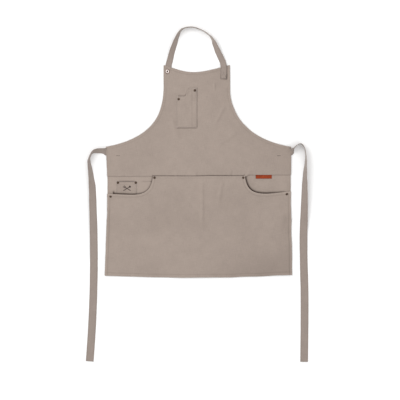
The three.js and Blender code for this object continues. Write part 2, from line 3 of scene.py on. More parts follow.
import bpy
import numpy as np
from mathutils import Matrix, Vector


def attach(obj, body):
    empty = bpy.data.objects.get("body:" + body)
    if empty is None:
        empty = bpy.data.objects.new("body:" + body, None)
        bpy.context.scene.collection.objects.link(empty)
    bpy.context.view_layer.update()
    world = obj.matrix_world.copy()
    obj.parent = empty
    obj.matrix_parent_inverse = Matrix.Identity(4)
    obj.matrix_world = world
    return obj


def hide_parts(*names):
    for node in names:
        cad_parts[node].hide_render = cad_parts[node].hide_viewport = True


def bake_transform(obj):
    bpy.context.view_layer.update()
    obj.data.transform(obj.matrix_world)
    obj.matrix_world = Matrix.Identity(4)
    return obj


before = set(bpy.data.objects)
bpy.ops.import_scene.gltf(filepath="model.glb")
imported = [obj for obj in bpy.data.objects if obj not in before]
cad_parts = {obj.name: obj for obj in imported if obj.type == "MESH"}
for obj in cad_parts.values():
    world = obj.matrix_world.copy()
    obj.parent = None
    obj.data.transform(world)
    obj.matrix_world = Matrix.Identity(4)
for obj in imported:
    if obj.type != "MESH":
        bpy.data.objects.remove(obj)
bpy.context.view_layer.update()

MM = 0.001
UP = np.array((0.0, 0.0, 1.0))

# ---------------------------------------------------------------- sizes, in millimetres, as in the CAD model
PLY = 1.0  # one ply of canvas
THIN = 0.5  # one ply of lining
WEBBING = 1.5
TURN = 11.0  # width of a turned edge
MARGIN = 15.0  # each panel has finer rows and columns this far in from its edges
SEAM_Z = {"bag_back": 0.5, "facing": 1.7, "bib": 3.0, "skirt": 4.3}
BIB_TOP = 434.0
BIB_STRAIGHT = 90.0  # the straight part of the bib's sides
BIB_X = (-135.5, 122.5)
SHOULDER = (361.0, 115.5)
WAIST_X = {-1: 355.5, 1: 360.5}
HEM = (365.5, -384.5)
HEM_TILT = 1.5
HEM_BELLY = 10.0
NECK = (-22.0, 28.0, 10.0)  # where the neckline is lowest, how far it drops and how broad it is there
SCOOP = {-1: 180.0, 1: 183.5}
SCOOP_DEPTH = {-1: 72.0, 1: 68.0}
SCOOP_RISE = {-1: 4.0, 1: 10.0}
FACING = (154.0, -104.0)  # each facing's inner edge and bottom
BAG = (154.0, 335.0, -235.0)  # each bag's inner edge, outer edge and bottom
BAG_CORNER = 45.0
NECK_FACING = 36.0
ARMHOLE_FALL = {-1: 0.39, 1: 0.30}
RIVETS = {
    "left_scoop_top": (-171.5, -5.0, "scoop"), "right_scoop_top": (175.0, -5.0, "scoop"),
    "left_scoop_side": (-342.3, -78.0, "scoop"), "right_scoop_side": (344.1, -69.0, "scoop"),
    "coin_left": (-313.5, -24.5, "coin"), "coin_right": (-244.5, -24.5, "coin"),
    "pen_low": (-77.0, 301.0, "pen"), "pen_high": (-14.0, 335.0, "pen"),
}
BUTTON = (-121.0, 409.0)


# ---------------------------------------------------------------- numbers over the plane
def ease(a, b, v):
    t = np.clip((np.asarray(v, float) - a) / (b - a), 0, 1)
    return t * t * (3 - 2 * t)


def lattice(ix, iy, seed):
    h = (ix * 374761393 + iy * 668265263 + seed * 362437) & 0xFFFFFFFF
    h = ((h ^ (h >> 13)) * 1274126177) & 0xFFFFFFFF
    return ((h ^ (h >> 16)) & 0xFFFF) / 32767.5 - 1


def noise(x, y, size, seed):
    """Smooth random hills from -1 to 1, about size across."""
    x, y = np.broadcast_arrays(np.asarray(x, float) / size, np.asarray(y, float) / size)
    ix, iy = np.floor(x).astype(np.int64), np.floor(y).astype(np.int64)
    fx, fy = x - ix, y - iy
    fx, fy = fx * fx * (3 - 2 * fx), fy * fy * (3 - 2 * fy)
    low = lattice(ix, iy, seed) * (1 - fx) + lattice(ix + 1, iy, seed) * fx
    high = lattice(ix, iy + 1, seed) * (1 - fx) + lattice(ix + 1, iy + 1, seed) * fx
    return low * (1 - fy) + high * fy


def bezier(a, b, c, d, count):
    t = np.linspace(0, 1, count)[:, None]
    a, b, c, d = (np.array(p, float) for p in (a, b, c, d))
    return (1 - t) ** 3 * a + 3 * (1 - t) ** 2 * t * b + 3 * (1 - t) * t * t * c + t**3 * d


def away(x, y, line):
    """Distance from each point to a polyline."""
    x, y = np.broadcast_arrays(np.asarray(x, float), np.asarray(y, float))
    p = np.stack([x.ravel(), y.ravel()], 1)
    best = np.full(len(p), 1e9)
    for a, b in zip(line[:-1], line[1:]):
        d = b - a
        t = np.clip(((p - a) @ d) / max(d @ d, 1e-9), 0, 1)
        best = np.minimum(best, np.linalg.norm(p - (a + t[:, None] * d), axis=1))
    return best.reshape(x.shape)


def nearest(x, y, lines):
    """Distance to the nearer of the two sides' lines."""
    return np.minimum(away(x, y, lines[-1]), away(x, y, lines[1]))


def bell(d, width):
    return np.exp(-((d / width) ** 2))


def crease(x, y, a, b, width, height):
    """A soft straight ridge (or a groove, if height is negative) that fades at both ends."""
    a, b = np.array(a, float), np.array(b, float)
    d = b - a
    length = np.hypot(*d)
    along = ((x - a[0]) * d[0] + (y - a[1]) * d[1]) / length
    across = ((x - a[0]) * -d[1] + (y - a[1]) * d[0]) / length
    fade = ease(0, 0.3 * length, along) * (1 - ease(0.7 * length, length, along))
    return height * fade * bell(across, width)


# ---------------------------------------------------------------- outlines
def armhole(side):
    top = np.array((BIB_X[0] if side < 0 else BIB_X[1], BIB_TOP - BIB_STRAIGHT))
    end = np.array((side * SHOULDER[0], SHOULDER[1]))
    reach, drop = abs(end[0] - top[0]), top[1] - end[1]
    upper = top + (0, -ARMHOLE_FALL[side] * drop)
    lower = end + (-side * 0.85 * reach, 0.145 * drop)
    return bezier(top, upper, lower, end, 120)


ARMHOLES = {-1: armhole(-1), 1: armhole(1)}


def bib_side(side):
    arm = ARMHOLES[side][::-1]
    corner = arm[-1][0]

    def edge(y):
        y = np.asarray(y, float)
        low = side * (WAIST_X[side] + (SHOULDER[0] - WAIST_X[side]) * y / SHOULDER[1])
        sweep = np.interp(y, arm[:, 1], arm[:, 0])
        x = np.where(y < SHOULDER[1], low, np.where(y > BIB_TOP - BIB_STRAIGHT, corner, sweep))
        wobble = 0.7 * noise(y, side * 50.0, 38, 11) + 0.35 * noise(y, side * 50.0, 14, 12)
        return x + wobble * ease(4, 30, y) * (1 - ease(BIB_TOP - 30, BIB_TOP - 6, y))

    return edge


NECKLINE = bezier((BIB_X[0], BIB_TOP), (NECK[0] - NECK[2] / 2, BIB_TOP - NECK[1] * 4 / 3),
                  (NECK[0] + NECK[2] / 2, BIB_TOP - NECK[1] * 4 / 3), (BIB_X[1], BIB_TOP), 60)


def neck_y(x):
    return np.interp(x, NECKLINE[:, 0], NECKLINE[:, 1])


def bib_bottom(x):
    """The tongue laps under the skirt; past it the bib ends in a visible edge over each pocket."""
    x = np.asarray(x, float)
    seam = 6.0 * ease(186, 196, x)
    tongue = ease(-5, 1, x - SCOOP[1]) + ease(-5, 1, -x - SCOOP[-1])
    return -9 + (9 + seam) * tongue


def scoop_line(side):
    start, depth, high = SCOOP[side], -SCOOP_DEPTH[side], seam_y(side * (SCOOP[side] - 3))
    curve = bezier((start - 3, high), (start + 3, 0.74 * depth), (start + 25, depth), (start + 78, depth), 44)
    run = np.linspace(start + 78, WAIST_X[side] + 3, 20)[1:]
    t = (run - run[0]) / (run[-1] - run[0])
    line = np.concatenate([curve, np.stack([run, depth + SCOOP_RISE[side] * t**1.3], 1)])
    line[:, 0] *= side
    return line


def seam_y(x):
    """The waist seam between the pockets climbs a little to the right."""
    return 0.9 + 0.005 * np.asarray(x, float) + 0.5 * noise(x, 0, 45, 21)


SCOOPS = {-1: scoop_line(-1), 1: scoop_line(1)}


def skirt_top(x):
    x = np.asarray(x, float)
    y = seam_y(x)
    for side, line in SCOOPS.items():
        inside = side * x > SCOOP[side] - 3
        order = line if side > 0 else line[::-1]
        y = np.where(inside, np.interp(x, order[:, 0], order[:, 1]), y)
    return y


def skirt_bottom(x):
    x = np.asarray(x, float)
    t = np.clip(np.abs(x) / HEM[0], 0, 1)
    return HEM[1] + HEM_TILT * x / HEM[0] - HEM_BELLY * (1 - t * t) + 0.8 * noise(x, 0, 60, 31)


def skirt_side(side):
    def edge(y):
        y = np.asarray(y, float)
        x = WAIST_X[side] + (HEM[0] - WAIST_X[side]) * (y / HEM[1]) ** 2
        return side * (x + 1.1 * noise(y, side * 70.0, 55, 41) + 0.5 * noise(y, side * 70.0, 19, 42))

    return edge


def from_sides(x, y):
    return np.minimum(np.abs(x - skirt_side(-1)(y)), np.abs(x - skirt_side(1)(y)))


# ---------------------------------------------------------------- how the cloth lies
def lie(x, y):
    """What every layer shares: long soft hollows and swells, and the small ripple of washed canvas."""
    swell = 1.0 * noise(x, y, 150, 1) + 0.55 * noise(x, y, 70, 2)
    ripple = 0.16 * noise(x, y, 24, 3) + 0.06 * noise(x, y, 9, 4)
    return 1.2 + swell * 0.8 + ripple


SCOOP_GAPE = {-1: (-300.0, 62.0, 4.2), 1: (236.0, 60.0, 4.2)}  # middle, half length and height of each gape


def gape(x, y, reach):
    """How far the pocket mouth stands open, fading over reach from its edge."""
    total = 0.0
    for side, (middle, half, height) in SCOOP_GAPE.items():
        near = bell(away(x, y, SCOOPS[side]), reach)
        along = bell(np.asarray(x, float) - middle, half) + 0.22
        total = total + height * along * near * (np.abs(x) > SCOOP[side] - 20)
    return total


def near_edge(d, width, rise):
    """A turned edge: its ply's thickness up to the stitching, which pulls it down in a groove."""
    ridge = rise * (1 - ease(width - 1.5, width + 1.5, d))
    groove = 0.35 * bell(d - width + 1, 1.2)
    return ridge - groove


def height_at(surface, x, y):
    return float(surface(np.array(x), np.array(y)))


PUCKERS = ((-90, 30), (-16, 26), (119, 34), (194, 38), (40, 20), (-150, 24), (-235, 20))


def bib_z(x, y):
    z = SEAM_Z["bib"] + lie(x, y)
    z = z + crease(x, y, (59, 366), (64, 330), 4, 0.9) + crease(x, y, (108, 285), (58, 190), 7, 1.1)
    z = z + crease(x, y, (128, 262), (92, 170), 9, -0.9) + crease(x, y, (-110, 250), (-70, 120), 12, 0.8)
    z = z + crease(x, y, (160, 180), (60, 110), 10, 0.7) + crease(x, y, (-215, 128), (-120, 60), 14, 0.7)
    z = z + crease(x, y, (20, 180), (30, 20), 12, 0.6) + crease(x, y, (250, 90), (150, 30), 12, 0.6)
    for at, tall in PUCKERS:
        z = z + crease(x, y, (at, 0), (at + 3, tall), 3.2, 1.0)
        z = z + crease(x, y, (at + 8, 0), (at + 10, 0.8 * tall), 3.4, -0.5)
    z = z - 0.5 * (1 - ease(-3, 3, y)) * (np.abs(x) < SCOOP[-1])
    d = np.minimum(nearest(x, y, ARMHOLES), neck_y(x) - y)
    z = z + near_edge(d, 10, 0.35)
    lift = 1.6 * bell(y - 250, 60) * bell(d, 14) * (x > 0)
    over_tie = 2.6 * bell(np.abs(x) - 364, 9) * bell(y - 102, 13)
    return z + lift + over_tie


def facing_z(x, y):
    z = SEAM_Z["facing"] + lie(x, y) - 0.32 * gape(x, y, 16)
    return np.maximum(z, 1.1)


def skirt_z(x, y):
    y = np.asarray(y, float)
    level = SEAM_Z["skirt"] - 1.2 * ease(-190, -330, y)
    z = level + lie(x, y) + gape(x, y, 13)
    z = z + crease(x, y, (13, 12), (15, -225), 5.5, 2.2) + crease(x, y, (32, 4), (36, -160), 8, -0.8)
    z = z + crease(x, y, (96, -4), (76, -125), 6, 1.9) + crease(x, y, (-120, -30), (-135, -260), 16, 0.9)
    z = z + crease(x, y, (230, -110), (205, -330), 18, 0.9)
    z = z + crease(x, y, (-250, -120), (-262, -340), 14, 0.7)
    z = z + crease(x, y, (325, -120), (318, -230), 9, 1.0) + crease(x, y, (310, -120), (300, -240), 9, -0.8)
    z = z + crease(x, y, (-60, -200), (-40, -370), 14, 0.6) + crease(x, y, (130, -240), (150, -372), 12, 0.7)
    for at, deep in ((-130, 20), (-60, 26), (75, 24), (150, 18)):
        z = z + crease(x, y, (at, 2), (at + 2, -deep), 3.4, 0.6)
    d = np.minimum(skirt_top(x) - y, nearest(x, y, SCOOPS))
    z = z + near_edge(d, 9, 0.3)
    hem = y - skirt_bottom(x)
    roll = 0.5 * noise(x, y, 22, 51) * bell(hem, 14)
    wave = 1.5 * noise(x, 0, 70, 52) * bell(hem, 40)
    side = from_sides(x, y)
    flutter = 1.3 * noise(y, 0, 60, 53) * bell(side, 30)
    z = z + near_edge(hem, 11, 0.0) + roll + np.maximum(wave, -0.6) + np.maximum(flutter, -0.6)
    return np.maximum(z, 3.4)


# ---------------------------------------------------------------- meshes
def mesh_object(name, points, faces, uvs=None, wear=None):
    mesh = bpy.data.meshes.new(name)
    mesh.from_pydata((np.asarray(points) * MM).tolist(), [], faces)
    if uvs is not None:
        layer = mesh.uv_layers.new(name="cloth")
        index = np.array([loop.vertex_index for loop in mesh.loops])
        layer.data.foreach_set("uv", (np.asarray(uvs)[index] * MM).astype(np.float32).ravel())
    if wear is not None:
        data = mesh.attributes.new("wear", "FLOAT", "POINT")
        data.data.foreach_set("value", np.asarray(wear, np.float32).ravel())
    mesh.polygons.foreach_set("use_smooth", [True] * len(mesh.polygons))
    mesh.update()
    obj = bpy.data.objects.new(name, mesh)
    bpy.context.scene.collection.objects.link(obj)
    return obj


def cloth(name, p, thickness, wear=None):
    """A closed sheet round the grid of points p (rows, columns, 3), with a rounded rim."""
    rows, cols = p.shape[:2]
    du, dv = np.gradient(p, axis=1), np.gradient(p, axis=0)
    n = np.cross(du, dv)
    n /= np.maximum(np.linalg.norm(n, axis=2, keepdims=True), 1e-9)
    half = thickness / 2
    top, bottom = p + n * half, p - n * half
    ring = [(0, c) for c in range(cols)] + [(r, cols - 1) for r in range(1, rows)]
    ring += [(rows - 1, c) for c in range(cols - 2, -1, -1)] + [(r, 0) for r in range(rows - 2, 0, -1)]
    centre = np.array([p[i] for i in ring])
    inner = np.array([p[min(max(r, 1), rows - 2), min(max(c, 1), cols - 2)] for r, c in ring])
    out = centre - inner
    out /= np.maximum(np.linalg.norm(out, axis=1, keepdims=True), 1e-9)
    rim = centre + out * half * 0.8
    index = np.arange(rows * cols).reshape(rows, cols)
    a, b, c, d = index[:-1, :-1], index[:-1, 1:], index[1:, 1:], index[1:, :-1]
    count = rows * cols
    faces = np.stack([a, b, c, d], -1).reshape(-1, 4).tolist()
    faces += (np.stack([d, c, b, a], -1).reshape(-1, 4) + count).tolist()
    edge = [int(index[i]) for i in ring]
    k = len(edge)
    for i in range(k):
        j = (i + 1) % k
        faces.append([edge[j], edge[i], 2 * count + i, 2 * count + j])
        faces.append([2 * count + j, 2 * count + i, edge[i] + count, edge[j] + count])
    points = np.concatenate([top.reshape(-1, 3), bottom.reshape(-1, 3), rim])
    uv = p[..., :2]
    uvs = np.concatenate([uv.reshape(-1, 2)] * 2 + [np.array([uv[i] for i in ring])])
    wear = np.zeros((rows, cols)) if wear is None else wear
    # The front face takes the attribute's worn edges and painted shade, the back a quarter of them, and the
    # rim is made 0.25 paler.
    worn_and_shaded = np.concatenate([wear.ravel(), 0.25 * wear.ravel(), np.array([wear[i] for i in ring]) + 0.25])
    return mesh_object(name, points, faces, uvs, worn_and_shaded)


def steps(a, b, size):
    return np.linspace(a, b, max(2, int(round(abs(b - a) / size)) + 1))


def profile(turned):
    """Distances in from an edge, each with how far the cloth is turned under there."""
    folded = [(TURN, 1), (7, 1), (3, 1), (1, 0.92), (0, 0.5), (1, 0.08)] if turned else [(0, 0)]
    return folded + [(2.5, 0), (5, 0), (8, 0), (10, 0), (12, 0), (15, 0)]


def panel(name, z, left, right, bottom, top, rows, cols, low, high, reach, turned, thickness, rests_on,
          wear=None, under=1.2):
    """A panel between two side edges and two end edges. rows are heights between low and high, and cols run
    from 0 to 1 between the margins. turned says if the left, right, bottom and top edges are folded under."""
    lines = [("low", d, f) for d, f in profile(turned[2])]
    lines += [("row", y, 0) for y in rows]
    lines += [("high", d, f) for d, f in profile(turned[3])][::-1]
    uprights = [("left", d, f) for d, f in profile(turned[0])]
    uprights += [("col", t, 0) for t in cols]
    uprights += [("right", d, f) for d, f in profile(turned[1])][::-1]
    base = np.array([low + v if k == "low" else high - v if k == "high" else v for k, v, _ in lines])
    fold_rows = np.array([f for _, _, f in lines])[:, None]
    fold_cols = np.array([f for _, _, f in uprights])[None, :]
    x0, x1 = left(base), right(base)
    columns = []
    for kind, v, _ in uprights:
        if kind == "left":
            columns.append(x0 + v)
        elif kind == "right":
            columns.append(x1 - v)
        else:
            columns.append(x0 + MARGIN + v * (x1 - x0 - 2 * MARGIN))
    x = np.stack(columns, 1)
    y = np.repeat(base[:, None], x.shape[1], 1)
    y = y + (top(x) - high) * (1 - ease(0, reach, high - base)[:, None])
    y = y + (bottom(x) - low) * (1 - ease(0, reach, base - low)[:, None])
    p = np.stack([x, y, z(x, y) - under * (fold_rows + fold_cols)], 2)
    obj = cloth(name, p, thickness, wear(x, y) if wear else None)
    return obj


def lathe(name, profile_points, sides, at):
    """A turned solid from (radius, height) points, the first and the last on the axis."""
    points, faces, rings = [], [], []
    for r, z in profile_points:
        if r < 1e-6:
            rings.append([len(points)])
            points.append((at[0], at[1], at[2] + z))
            continue
        ring = []
        for i in range(sides):
            a = 2 * math.pi * i / sides
            ring.append(len(points))
            points.append((at[0] + r * math.cos(a), at[1] + r * math.sin(a), at[2] + z))
        rings.append(ring)
    for lower, upper in zip(rings[:-1], rings[1:]):
        for i in range(sides):
            j = (i + 1) % sides
            if len(lower) == 1:
                faces.append([lower[0], upper[j], upper[i]])
            elif len(upper) == 1:
                faces.append([lower[i], lower[j], upper[0]])
            else:
                faces.append([lower[i], lower[j], upper[j], upper[i]])
    return mesh_object(name, points, faces)


def turned_ring(name, section, sides, at):
    """A ring whose cross-section is a closed loop of (radius, height) points."""
    points, faces, count = [], [], len(section) - 1
    for i in range(sides):
        a = 2 * math.pi * i / sides
        points += [(at[0] + r * math.cos(a), at[1] + r * math.sin(a), at[2] + z) for r, z in section[:-1]]
    for i in range(sides):
        j = (i + 1) % sides
        faces += [[i * count + k, j * count + k, j * count + (k + 1) % count, i * count + (k + 1) % count]
                  for k in range(count)]
    return mesh_object(name, points, faces)


class Sewing:
    """Stitches gathered into one mesh, each a short plump thread."""

    def __init__(self, width=0.75, height=0.5):
        self.width, self.height, self.points, self.faces = width, height, [], []

    def sew(self, a, b, side, up):
        rings = ((0.0, 0.35), (0.18, 0.85), (0.5, 1.0), (0.82, 0.85), (1.0, 0.35))
        sides, base = 6, len(self.points)
        for t, s in rings:
            middle = a + (b - a) * t - up * (self.height * 0.55 * (2 * t - 1) ** 2)
            for i in range(sides):
                angle = 2 * math.pi * i / sides
                wide, tall = math.cos(angle) * self.width / 2 * s, math.sin(angle) * self.height / 2 * s
                self.points.append(middle + side * wide + up * tall)
        for r in range(len(rings) - 1):
            for i in range(sides):
                j = (i + 1) % sides
                ring = (r * sides + i, r * sides + j, (r + 1) * sides + j, (r + 1) * sides + i)
                self.faces.append([base + k for k in ring])
        self.faces.append([base + i for i in range(sides)][::-1])
        self.faces.append([base + (len(rings) - 1) * sides + i for i in range(sides)])

    def mesh(self, name):
        return mesh_object(name, self.points, self.faces)


def walk(line, pitch):
    """Even points along a polyline, a whole number of pitches."""
    line = np.asarray(line, float)
    step = np.linalg.norm(np.diff(line, axis=0), axis=1)
    at = np.concatenate([[0], np.cumsum(step)])
    count = max(1, int(at[-1] / pitch))
    s = np.linspace(0, at[-1], count + 1)
    return np.stack([np.interp(s, at, line[:, k]) for k in range(line.shape[1])], 1)


def stitches(name, lines, surface, thickness=PLY, pitch=3.6, width=0.75, back=False):
    """Topstitching along flat lines, laid on a surface or under it."""
    thread_work = Sewing(width)
    for line in lines:
        p = walk(line, pitch)
        z = surface(p[:, 0], p[:, 1]) + (-thickness / 2 - 0.05 if back else thickness / 2 + 0.05)
        q = np.column_stack([p, z])
        for a, b in zip(q[:-1], q[1:]):
            length = np.linalg.norm(b - a)
            if length < 1e-6:
                continue
            d = (b - a) / length
            side = np.cross(UP, d)
            side /= max(np.linalg.norm(side), 1e-9)
            thread_work.sew(a + d * 0.12 * length, b - d * 0.12 * length, side, np.cross(d, side))
    return thread_work.mesh(name)


def offset(line, distance):
    """The same line moved to its left."""
    d = np.gradient(np.asarray(line, float), axis=0)
    d /= np.maximum(np.linalg.norm(d, axis=1, keepdims=True), 1e-9)
    return np.asarray(line, float) + np.stack([-d[:, 1], d[:, 0]], 1) * distance


# ---------------------------------------------------------------- materials
class Nodes:
    """Short names for the node tree of one material."""

    def __init__(self, name):
        self.material = bpy.data.materials.new(name)
        self.material.use_nodes = True
        self.tree = self.material.node_tree
        self.shader = self.tree.nodes["Principled BSDF"]

    def add(self, kind, **settings):
        node = self.tree.nodes.new(kind)
        for key, value in settings.items():
            if key in node.inputs:
                node.inputs[key].default_value = value
            else:
                setattr(node, key, value)
        return node

    def link(self, a, b):
        self.tree.links.new(a, b)

    def math(self, operation, *values, clamp=False):
        node = self.tree.nodes.new("ShaderNodeMath")
        node.operation, node.use_clamp = operation, clamp
        for socket, value in zip(node.inputs, values):
            if isinstance(value, (int, float)):
                socket.default_value = value
            else:
                self.link(value, socket)
        return node.outputs[0]

    def noise(self, vector, scale, detail=3.0):
        node = self.add("ShaderNodeTexNoise", Scale=scale, Detail=detail)
        self.link(vector, node.inputs["Vector"])
        return node.outputs["Fac"]

    def stretched(self, vector, sx, sy):
        node = self.tree.nodes.new("ShaderNodeVectorMath")
        node.operation = "MULTIPLY"
        self.link(vector, node.inputs[0])
        node.inputs[1].default_value = (sx, sy, 1.0)
        return node.outputs[0]

    def ramp(self, factor, *stops):
        node = self.tree.nodes.new("ShaderNodeValToRGB")
        while len(node.color_ramp.elements) < len(stops):
            node.color_ramp.elements.new(0.5)
        for element, (at, colour) in zip(node.color_ramp.elements, stops):
            element.position, element.color = at, (*colour, 1.0)
        self.link(factor, node.inputs[0])
        return node.outputs[0]

    def mix(self, factor, a, b, blend="MIX"):
        node = self.tree.nodes.new("ShaderNodeMix")
        node.data_type, node.blend_type = "RGBA", blend
        for socket, value in ((node.inputs[0], factor), (node.inputs[6], a), (node.inputs[7], b)):
            if isinstance(value, (int, float)):
                socket.default_value = value
            elif isinstance(value, tuple):
                socket.default_value = (*value, 1.0)
            else:
                self.link(value, socket)
        return node.outputs[2]

    def bump(self, height, distance, strength, normal=None):
        node = self.add("ShaderNodeBump", Distance=distance, Strength=strength)
        self.link(height, node.inputs["Height"])
        if normal is not None:
            self.link(normal, node.inputs["Normal"])
        return node.outputs[0]

    def roughness(self, value, low, high):
        span = self.add("ShaderNodeMapRange")
        self.link(value, span.inputs["Value"])
        span.inputs["To Min"].default_value, span.inputs["To Max"].default_value = low, high
        self.link(span.outputs[0], self.shader.inputs["Roughness"])

    def colour(self, value):
        self.link(value, self.shader.inputs["Base Color"])


def grey(colour, factor):
    return tuple(c * factor for c in colour)


def woven(name, colour, pitch=0.0011, contrast=0.16, sheen=0.25, rough=(0.82, 0.97)):
    """Washed plain-woven cotton: crossing yarns, slubs both ways, cloudy fading, pale worn ridges, and
    painted shade and highlights from a per-vertex attribute.
    """
    m = Nodes(name)
    uv = m.add("ShaderNodeUVMap", uv_map="cloth").outputs[0]
    split = m.tree.nodes.new("ShaderNodeSeparateXYZ")
    m.link(uv, split.inputs[0])
    wave = math.pi / pitch
    warp, weft = (m.math("SINE", m.math("MULTIPLY", split.outputs[i], wave)) for i in (0, 1))
    check = m.math("MULTIPLY", warp, weft)
    weave = m.math("MULTIPLY_ADD", check, 0.5, 0.5)
    slub_v = m.noise(m.stretched(uv, 900.0, 40.0), 1.0, 2.0)
    slub_u = m.noise(m.stretched(uv, 40.0, 900.0), 1.0, 2.0)
    slub = m.math("ADD", slub_v, slub_u)
    fade = m.noise(uv, 26.0, 4.0)
    mottle = m.noise(uv, 130.0, 3.0)
    tone = m.math("MULTIPLY", slub, 0.34)
    tone = m.math("ADD", tone, m.math("MULTIPLY", weave, contrast))
    tone = m.math("ADD", tone, m.math("MULTIPLY", fade, 0.24))
    tone = m.math("ADD", tone, m.math("MULTIPLY", mottle, 0.12))
    base = m.ramp(tone, (0.34, grey(colour, 0.80)), (0.60, colour), (0.86, grey(colour, 1.17)))
    # Per-vertex attribute: positive values pale the cloth, for worn edges and painted highlights; negative
    # values darken it towards near-black, for painted shade in seams, stitch grooves, creases and pocket
    # mouths, with a little random tone.
    wear = m.add("ShaderNodeAttribute", attribute_name="wear").outputs["Fac"]
    pale = m.math("MULTIPLY", wear, 1.0, clamp=True)
    dark = m.math("MULTIPLY", wear, -1.0, clamp=True)
    base = m.mix(pale, base, grey(colour, 1.32))
    # This near-black colour is the painted shade.
    base = m.mix(dark, base, (colour[0] * 0.17, colour[1] * 0.13, colour[2] * 0.11))
    m.colour(base)
    m.roughness(mottle, *rough)
    fine = m.bump(weave, 0.0003, 0.55)
    m.link(m.bump(slub, 0.0004, 0.3, fine), m.shader.inputs["Normal"])
    m.shader.inputs["Sheen Weight"].default_value = sheen
    m.shader.inputs["Sheen Roughness"].default_value = 0.6
    m.shader.inputs["Specular IOR Level"].default_value = 0.25
    return m.material


def thread(name, colour):
    """Twisted polyester-cotton sewing thread."""
    m = Nodes(name)
    place = m.add("ShaderNodeTexCoord").outputs["Object"]
    twist = m.add("ShaderNodeTexWave", Scale=900.0, Distortion=1.0)
    twist.bands_direction = "DIAGONAL"
    m.link(place, twist.inputs["Vector"])
    tone = m.noise(place, 160.0, 2.0)
    base = m.ramp(tone, (0.3, grey(colour, 0.8)), (0.7, grey(colour, 1.12)))
    m.colour(m.mix(m.math("MULTIPLY", twist.outputs["Fac"], 0.35), base, grey(colour, 0.62)))
    m.link(m.bump(twist.outputs["Fac"], 0.0002, 0.5), m.shader.inputs["Normal"])
    m.roughness(tone, 0.55, 0.8)
    return m.material


def tanned(name, colour):
    """Smooth dyed leather with a fine grain, and a per-vertex attribute that darkens its pulled edges and
    paints shade on it.
    """
    m = Nodes(name)
    place = m.add("ShaderNodeTexCoord").outputs["Object"]
    cells = m.add("ShaderNodeTexVoronoi", Scale=1300.0)
    m.link(place, cells.inputs["Vector"])
    cloud = m.noise(place, 90.0, 4.0)
    base = m.ramp(cloud, (0.3, grey(colour, 0.72)), (0.55, colour), (0.8, grey(colour, 1.25)))
    # Negative attribute values darken the leather: its pulled edges, and painted shade where the bib's edge
    # overhangs the label.
    wear = m.add("ShaderNodeAttribute", attribute_name="wear").outputs["Fac"]
    base = m.mix(m.math("MULTIPLY", wear, -1.0, clamp=True), base, grey(colour, 0.45))
    m.colour(m.mix(m.math("MULTIPLY", cells.outputs["Distance"], 0.22), base, grey(colour, 0.6)))
    m.roughness(cloud, 0.5, 0.7)
    m.link(m.bump(cells.outputs["Distance"], 0.0002, 0.35), m.shader.inputs["Normal"])
    m.shader.inputs["Specular IOR Level"].default_value = 0.2
    return m.material


def metal(name, colour, tarnish, rough=(0.25, 0.5)):
    """Plated metal: tarnish in patches, fine scratches."""
    m = Nodes(name)
    place = m.add("ShaderNodeTexCoord").outputs["Object"]
    patch = m.noise(place, 420.0, 4.0)
    scratch = m.noise(m.stretched(place, 4000.0, 250.0), 1.0, 2.0)
    m.colour(m.ramp(patch, (0.35, tarnish), (0.62, colour)))
    m.roughness(patch, rough[1], rough[0])
    m.link(m.bump(scratch, 0.00008, 0.3), m.shader.inputs["Normal"])
    m.shader.inputs["Metallic"].default_value = 1.0
    return m.material


CANVAS = woven("canvas_weave", (0.302, 0.245, 0.209))
STRAP = woven("strap_weave", (0.268, 0.219, 0.190), pitch=0.0013)
LINING = woven("lining_weave", (0.56, 0.51, 0.44), pitch=0.0007, contrast=0.1, sheen=0.1)
THREAD = thread("topstitch_thread", (0.275, 0.222, 0.19))
MARK = thread("embroidery_thread", (0.058, 0.038, 0.030))
LEATHER = tanned("label_leather", (0.27, 0.038, 0.006))
COPPER = metal("antique_copper", (0.115, 0.078, 0.058), (0.030, 0.022, 0.018))
ROSE = metal("worn_rim", (0.36, 0.25, 0.22), (0.16, 0.10, 0.085), rough=(0.3, 0.5))
NICKEL = metal("warm_nickel", (0.93, 0.86, 0.82), (0.80, 0.72, 0.68), rough=(0.34, 0.5))


def finish(obj, material, body, replaced=()):
    """Gives a piece its material and hides the parts it replaces. body is what it rides on, or None to leave
    it unattached.
    """
    obj.data.materials.append(material)
    if replaced:
        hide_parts(*replaced)
    if body:
        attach(obj, body)


def across_fold(obj, material, replaced=()):
    finish(obj, material, None, replaced)
    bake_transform(obj)


# ---------------------------------------------------------------- camera and light
def add_camera():
    camera = bpy.data.objects.new("camera", bpy.data.cameras.new("camera"))
    height = 6.0
    camera.location = (0.006, -0.092, height)
    camera.data.sensor_width = 36
    camera.data.lens = 36 * height / 1.56
    bpy.context.scene.collection.objects.link(camera)
    bpy.context.scene.camera = camera


def add_area(name, place, target, size, power):
    data = bpy.data.lights.new(name, "AREA")
    data.shape, data.size, data.energy = "SQUARE", size, power
    lamp = bpy.data.objects.new(name, data)
    lamp.location = place
    lamp.rotation_euler = (Vector(target) - Vector(place)).to_track_quat("-Z", "Y").to_euler()
    bpy.context.scene.collection.objects.link(lamp)


